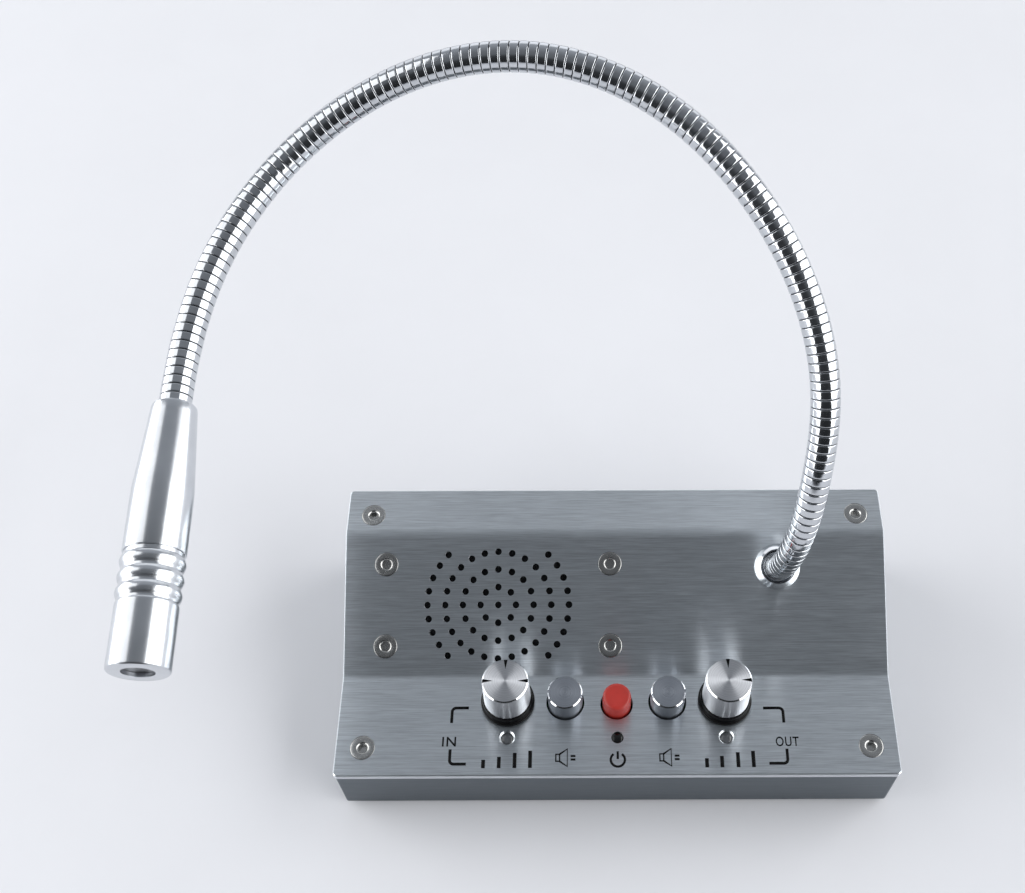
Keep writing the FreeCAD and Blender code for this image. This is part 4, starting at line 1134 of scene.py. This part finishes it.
class MIC_OT_legend(bpy.types.Operator):
    """Prints the level bars, brackets, words and symbols on the plate"""
    bl_idname = "counter_mic.legend"
    bl_label = "Legend"

    def execute(self, context):
        sizes = context.scene.counter_mic_legend
        self.ink = sizes.thickness / MM
        wide = sizes.stroke / MM
        tall = sizes.letter_height / MM
        self.printed("level_bars", [
            self.stroke([(x, BARS_Y), (x, BARS_Y + rise)], wide * 1.6)
            for x, rise in (
                (-42.54, 2.75), (-37.55, 3.65), (-32.57, 4.95), (-27.66, 5.65),
                (28.51, 2.95), (33.32, 3.7), (38.44, 4.9), (43.32, 5.3),
            )
        ])
        self.printed("level_brackets", [
            self.stroke(self.rounded(corner, 1.3), wide * 1.25)
            for corner in (
                [(-53.28, -28.89), (-53.28, -23.80), (-47.92, -23.80)],
                [(-53.24, -37.70), (-53.24, -42.55), (-47.98, -42.55)],
                [(54.02, -29.18), (54.02, -24.20), (47.65, -24.20)],
                [(54.22, -37.93), (54.22, -42.69), (48.25, -42.69)],
            )
        ])
        self.printed("words", [
            self.word("IN", -53.72, -36.75, tall, 4.45),
            self.word("OUT", 54.57, -37.1, tall, 7.4),
        ])
        pattern = join("sign_pattern", self.loudspeaker(wide * 0.82))
        for side, x in (("left", -19.74), ("right", 13.36)):
            self.printed(side + "_loudspeaker_sign", [copied("sign", pattern, at(x, -40.6, 0))])
        bpy.data.objects.remove(pattern)
        self.printed("power_sign", self.power(0.215, -41.3, wide))
        return {"FINISHED"}

    def stroke(self, points, wide, closed=False):
        """Flat printed line through points on the plate, in millimetres."""
        select_nothing()
        curve = bpy.data.curves.new("stroke", "CURVE")
        curve.dimensions = "3D"
        curve.twist_mode = "Z_UP"
        section = bpy.data.curves.new("section", "CURVE")
        section.dimensions = "2D"
        side, rise = wide / 2, self.ink / 2
        bar = [(-side, -rise), (side, -rise), (side, rise), (-side, rise)]
        for line, knots, round_again in ((curve, points, closed), (section, bar, True)):
            spline = line.splines.new("POLY")
            spline.points.add(len(knots) - 1)
            spline.use_cyclic_u = round_again
            for knot, (across, up) in zip(spline.points, knots):
                knot.co = (across * MM, up * MM, 0, 1)
        outline = bpy.data.objects.new("section", section)
        curve.bevel_mode = "OBJECT"
        curve.bevel_object = outline
        curve.use_fill_caps = True
        made = bpy.data.objects.new("stroke", curve)
        bpy.context.scene.collection.objects.link(made)
        only(made)
        bpy.context.view_layer.update()
        bpy.ops.object.convert(target="MESH")
        bpy.data.objects.remove(outline)
        mend(made)
        return made

    def rounded(self, corner, radius):
        """Corner given by three points, with its middle rounded."""
        first, middle, last = [Vector(p) for p in corner]
        to_first, to_last = (first - middle).normalized(), (last - middle).normalized()
        centre = middle + (to_first + to_last) * radius
        arc = []
        for k in range(9):
            angle = math.radians(90 * k / 8)
            arc.append(centre - to_last * radius * math.cos(angle) - to_first * radius * math.sin(angle))
        return [first] + arc + [last]

    def word(self, letters, x, y, tall, wide):
        """Printed word, with the middle of its foot at a place, stretched to its size."""
        select_nothing()
        bpy.ops.object.text_add()
        text = bpy.context.object
        text.data.body = letters
        text.data.size = 1.0
        text.data.extrude = 0.5
        text.data.offset = 0.012
        text.data.space_character = 1.12
        bpy.ops.object.convert(target="MESH")
        text = bpy.context.object
        low = Vector([min(v.co[i] for v in text.data.vertices) for i in range(3)])
        high = Vector([max(v.co[i] for v in text.data.vertices) for i in range(3)])
        size = high - low
        scale = Matrix.Diagonal((wide / size.x * MM, tall / size.y * MM, self.ink / size.z * MM, 1))
        settle(text, at(x, y + tall / 2, 0) @ scale @ Matrix.Translation(-(high + low) / 2))
        return text

    def loudspeaker(self, wide):
        """Loudspeaker sign to the right of the origin: box, horn and two bars of sound."""
        box = [(0.25, -1.15), (0.25, 1.15), (1.45, 1.15), (1.45, -1.15)]
        horn = [(1.45, 1.15), (3.9, 2.85), (3.9, -2.85), (1.45, -1.15)]
        bars = [self.stroke([(4.95, rise), (6.5, rise)], wide * 1.1) for rise in (-0.6, 0.55)]
        return [self.stroke(box, wide, True), self.stroke(horn, wide)] + bars

    def power(self, x, y, wide):
        """Power sign: ring with a gap at the top, and an upright bar in it."""
        radius, gap = 2.25, 72
        angles = [math.radians(90 + gap / 2 + (360 - gap) * k / 32) for k in range(33)]
        ring = [(x + radius * math.cos(angle), y + radius * math.sin(angle)) for angle in angles]
        return [self.stroke(ring, wide), self.stroke([(x, y + 0.2), (x, y + 2.75)], wide)]

    def printed(self, name, pieces):
        """Lays pieces of print on the control strip as one."""
        whole = join(name, pieces)
        settle(whole, at(0, 0, STRIP_Z + self.ink / 2))
        dress(whole, "ink", "console")


class MIC_OT_finishes(bpy.types.Operator):
    """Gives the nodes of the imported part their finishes"""
    bl_idname = "counter_mic.finishes"
    bl_label = "Finishes"

    def execute(self, context):
        for finish, nodes in CARRIED_OVER.items():
            for node in nodes:
                paint(frame["nodes"][node], finish)
        return {"FINISHED"}


class MIC_OT_stage(bpy.types.Operator):
    """Sets up the pale floor, the soft studio light and the camera"""
    bl_idname = "counter_mic.stage"
    bl_label = "Stage"

    def execute(self, context):
        sizes = context.scene.counter_mic_stage
        select_nothing()
        bpy.ops.mesh.primitive_plane_add(size=FLOOR_SIZE)
        floor = context.object
        floor.name = "floor"
        # Matt paint with faint clouds
        coat, tree = new_material("matt_studio_floor")
        tint = tuple(sizes.floor_colour)
        finish_material(tree, (noise_in(tree, 60.0), darker(tint, 0.985), tint), 0.9)
        floor.data.materials.append(coat)
        self.light_sky(context, sizes.sky)
        for name, place, turn, size, setting, share in WALLS:
            lamp = bpy.data.lights.new(name, "AREA")
            lamp.shape = "RECTANGLE"
            lamp.size, lamp.size_y = size
            lamp.energy = getattr(sizes, setting) * share * math.pi * size[0] * size[1]
            self.put(context, name, lamp, place, turn)
        view = bpy.data.cameras.new("camera")
        view.lens = CAMERA_LENS
        view.shift_x = CAMERA_SHIFT
        view.clip_start = 0.01
        context.scene.camera = self.put(context, "camera", view, CAMERA_PLACE, CAMERA_TURN)
        context.scene.view_settings.view_transform = "Standard"
        return {"FINISHED"}

    def light_sky(self, context, brightness):
        """Sky that is dark in front of the console and brighter towards its back."""
        world = bpy.data.worlds.new("studio")
        context.scene.world = world
        world.use_nodes = True
        room = world.node_tree
        room.nodes.clear()
        way = add_node(room, "TexCoord").outputs["Generated"]
        back = add_node(room, "SeparateXYZ", {"Vector": way}).outputs["Y"]
        share = add_node(room, "MapRange", {"Value": back, "From Min": -1.0}).outputs["Result"]
        ramp = add_node(room, "ValToRGB", {"Fac": share})
        stops = ramp.color_ramp.elements
        stops[0].color = (SKY_FRONT, SKY_FRONT, SKY_FRONT, 1.0)
        for position, grey in SKY:
            stops.new(position).color = (grey, grey, grey, 1.0)
        strength = add_node(
            room, "Math", {0: ramp.outputs["Color"], 1: brightness}, operation="MULTIPLY"
        ).outputs["Value"]
        sky = add_node(room, "Background", {"Color": hex_colour("E2E8F1"), "Strength": strength})
        add_node(room, "OutputWorld", {"Surface": sky.outputs["Background"]})

    def put(self, context, name, data, place, turn):
        """Adds a light or camera at a place in metres, turned by angles in degrees."""
        made = bpy.data.objects.new(name, data)
        made.location = place
        made.rotation_euler = [math.radians(a) for a in turn]
        context.scene.collection.objects.link(made)
        return made


OPERATORS = (
    MIC_OT_stage, MIC_OT_finishes, MIC_OT_cloth, MIC_OT_gland, MIC_OT_neck, MIC_OT_head, MIC_OT_knobs,
    MIC_OT_buttons, MIC_OT_springs, MIC_OT_screws, MIC_OT_lamps, MIC_OT_legend,
)


class MIC_PT_panel(bpy.types.Panel):
    """Lists the pieces and their settings"""
    bl_idname = "MIC_PT_panel"
    bl_label = "Counter microphone"
    bl_space_type = "VIEW_3D"
    bl_region_type = "UI"
    bl_category = "Counter microphone"

    def draw(self, context):
        for name, group in SETTINGS.items():
            settings = getattr(context.scene, name)
            box = self.layout.box()
            for field in group.__annotations__:
                box.prop(settings, field)
        for operator in OPERATORS:
            self.layout.operator(operator.bl_idname)


def register():
    """Registers the settings, operators and panel."""
    for name, group in SETTINGS.items():
        bpy.utils.register_class(group)
        setattr(bpy.types.Scene, name, PointerProperty(type=group))
    for operator in OPERATORS:
        bpy.utils.register_class(operator)
    bpy.utils.register_class(MIC_PT_panel)


def unregister():
    """Takes them away again."""
    bpy.utils.unregister_class(MIC_PT_panel)
    for operator in reversed(OPERATORS):
        bpy.utils.unregister_class(operator)
    for name, group in SETTINGS.items():
        delattr(bpy.types.Scene, name)
        bpy.utils.unregister_class(group)


def main():
    """Makes every piece."""
    register()
    for operator in OPERATORS:
        group, name = operator.bl_idname.split(".")
        getattr(getattr(bpy.ops, group), name)()


if __name__ == "__main__":
    main()
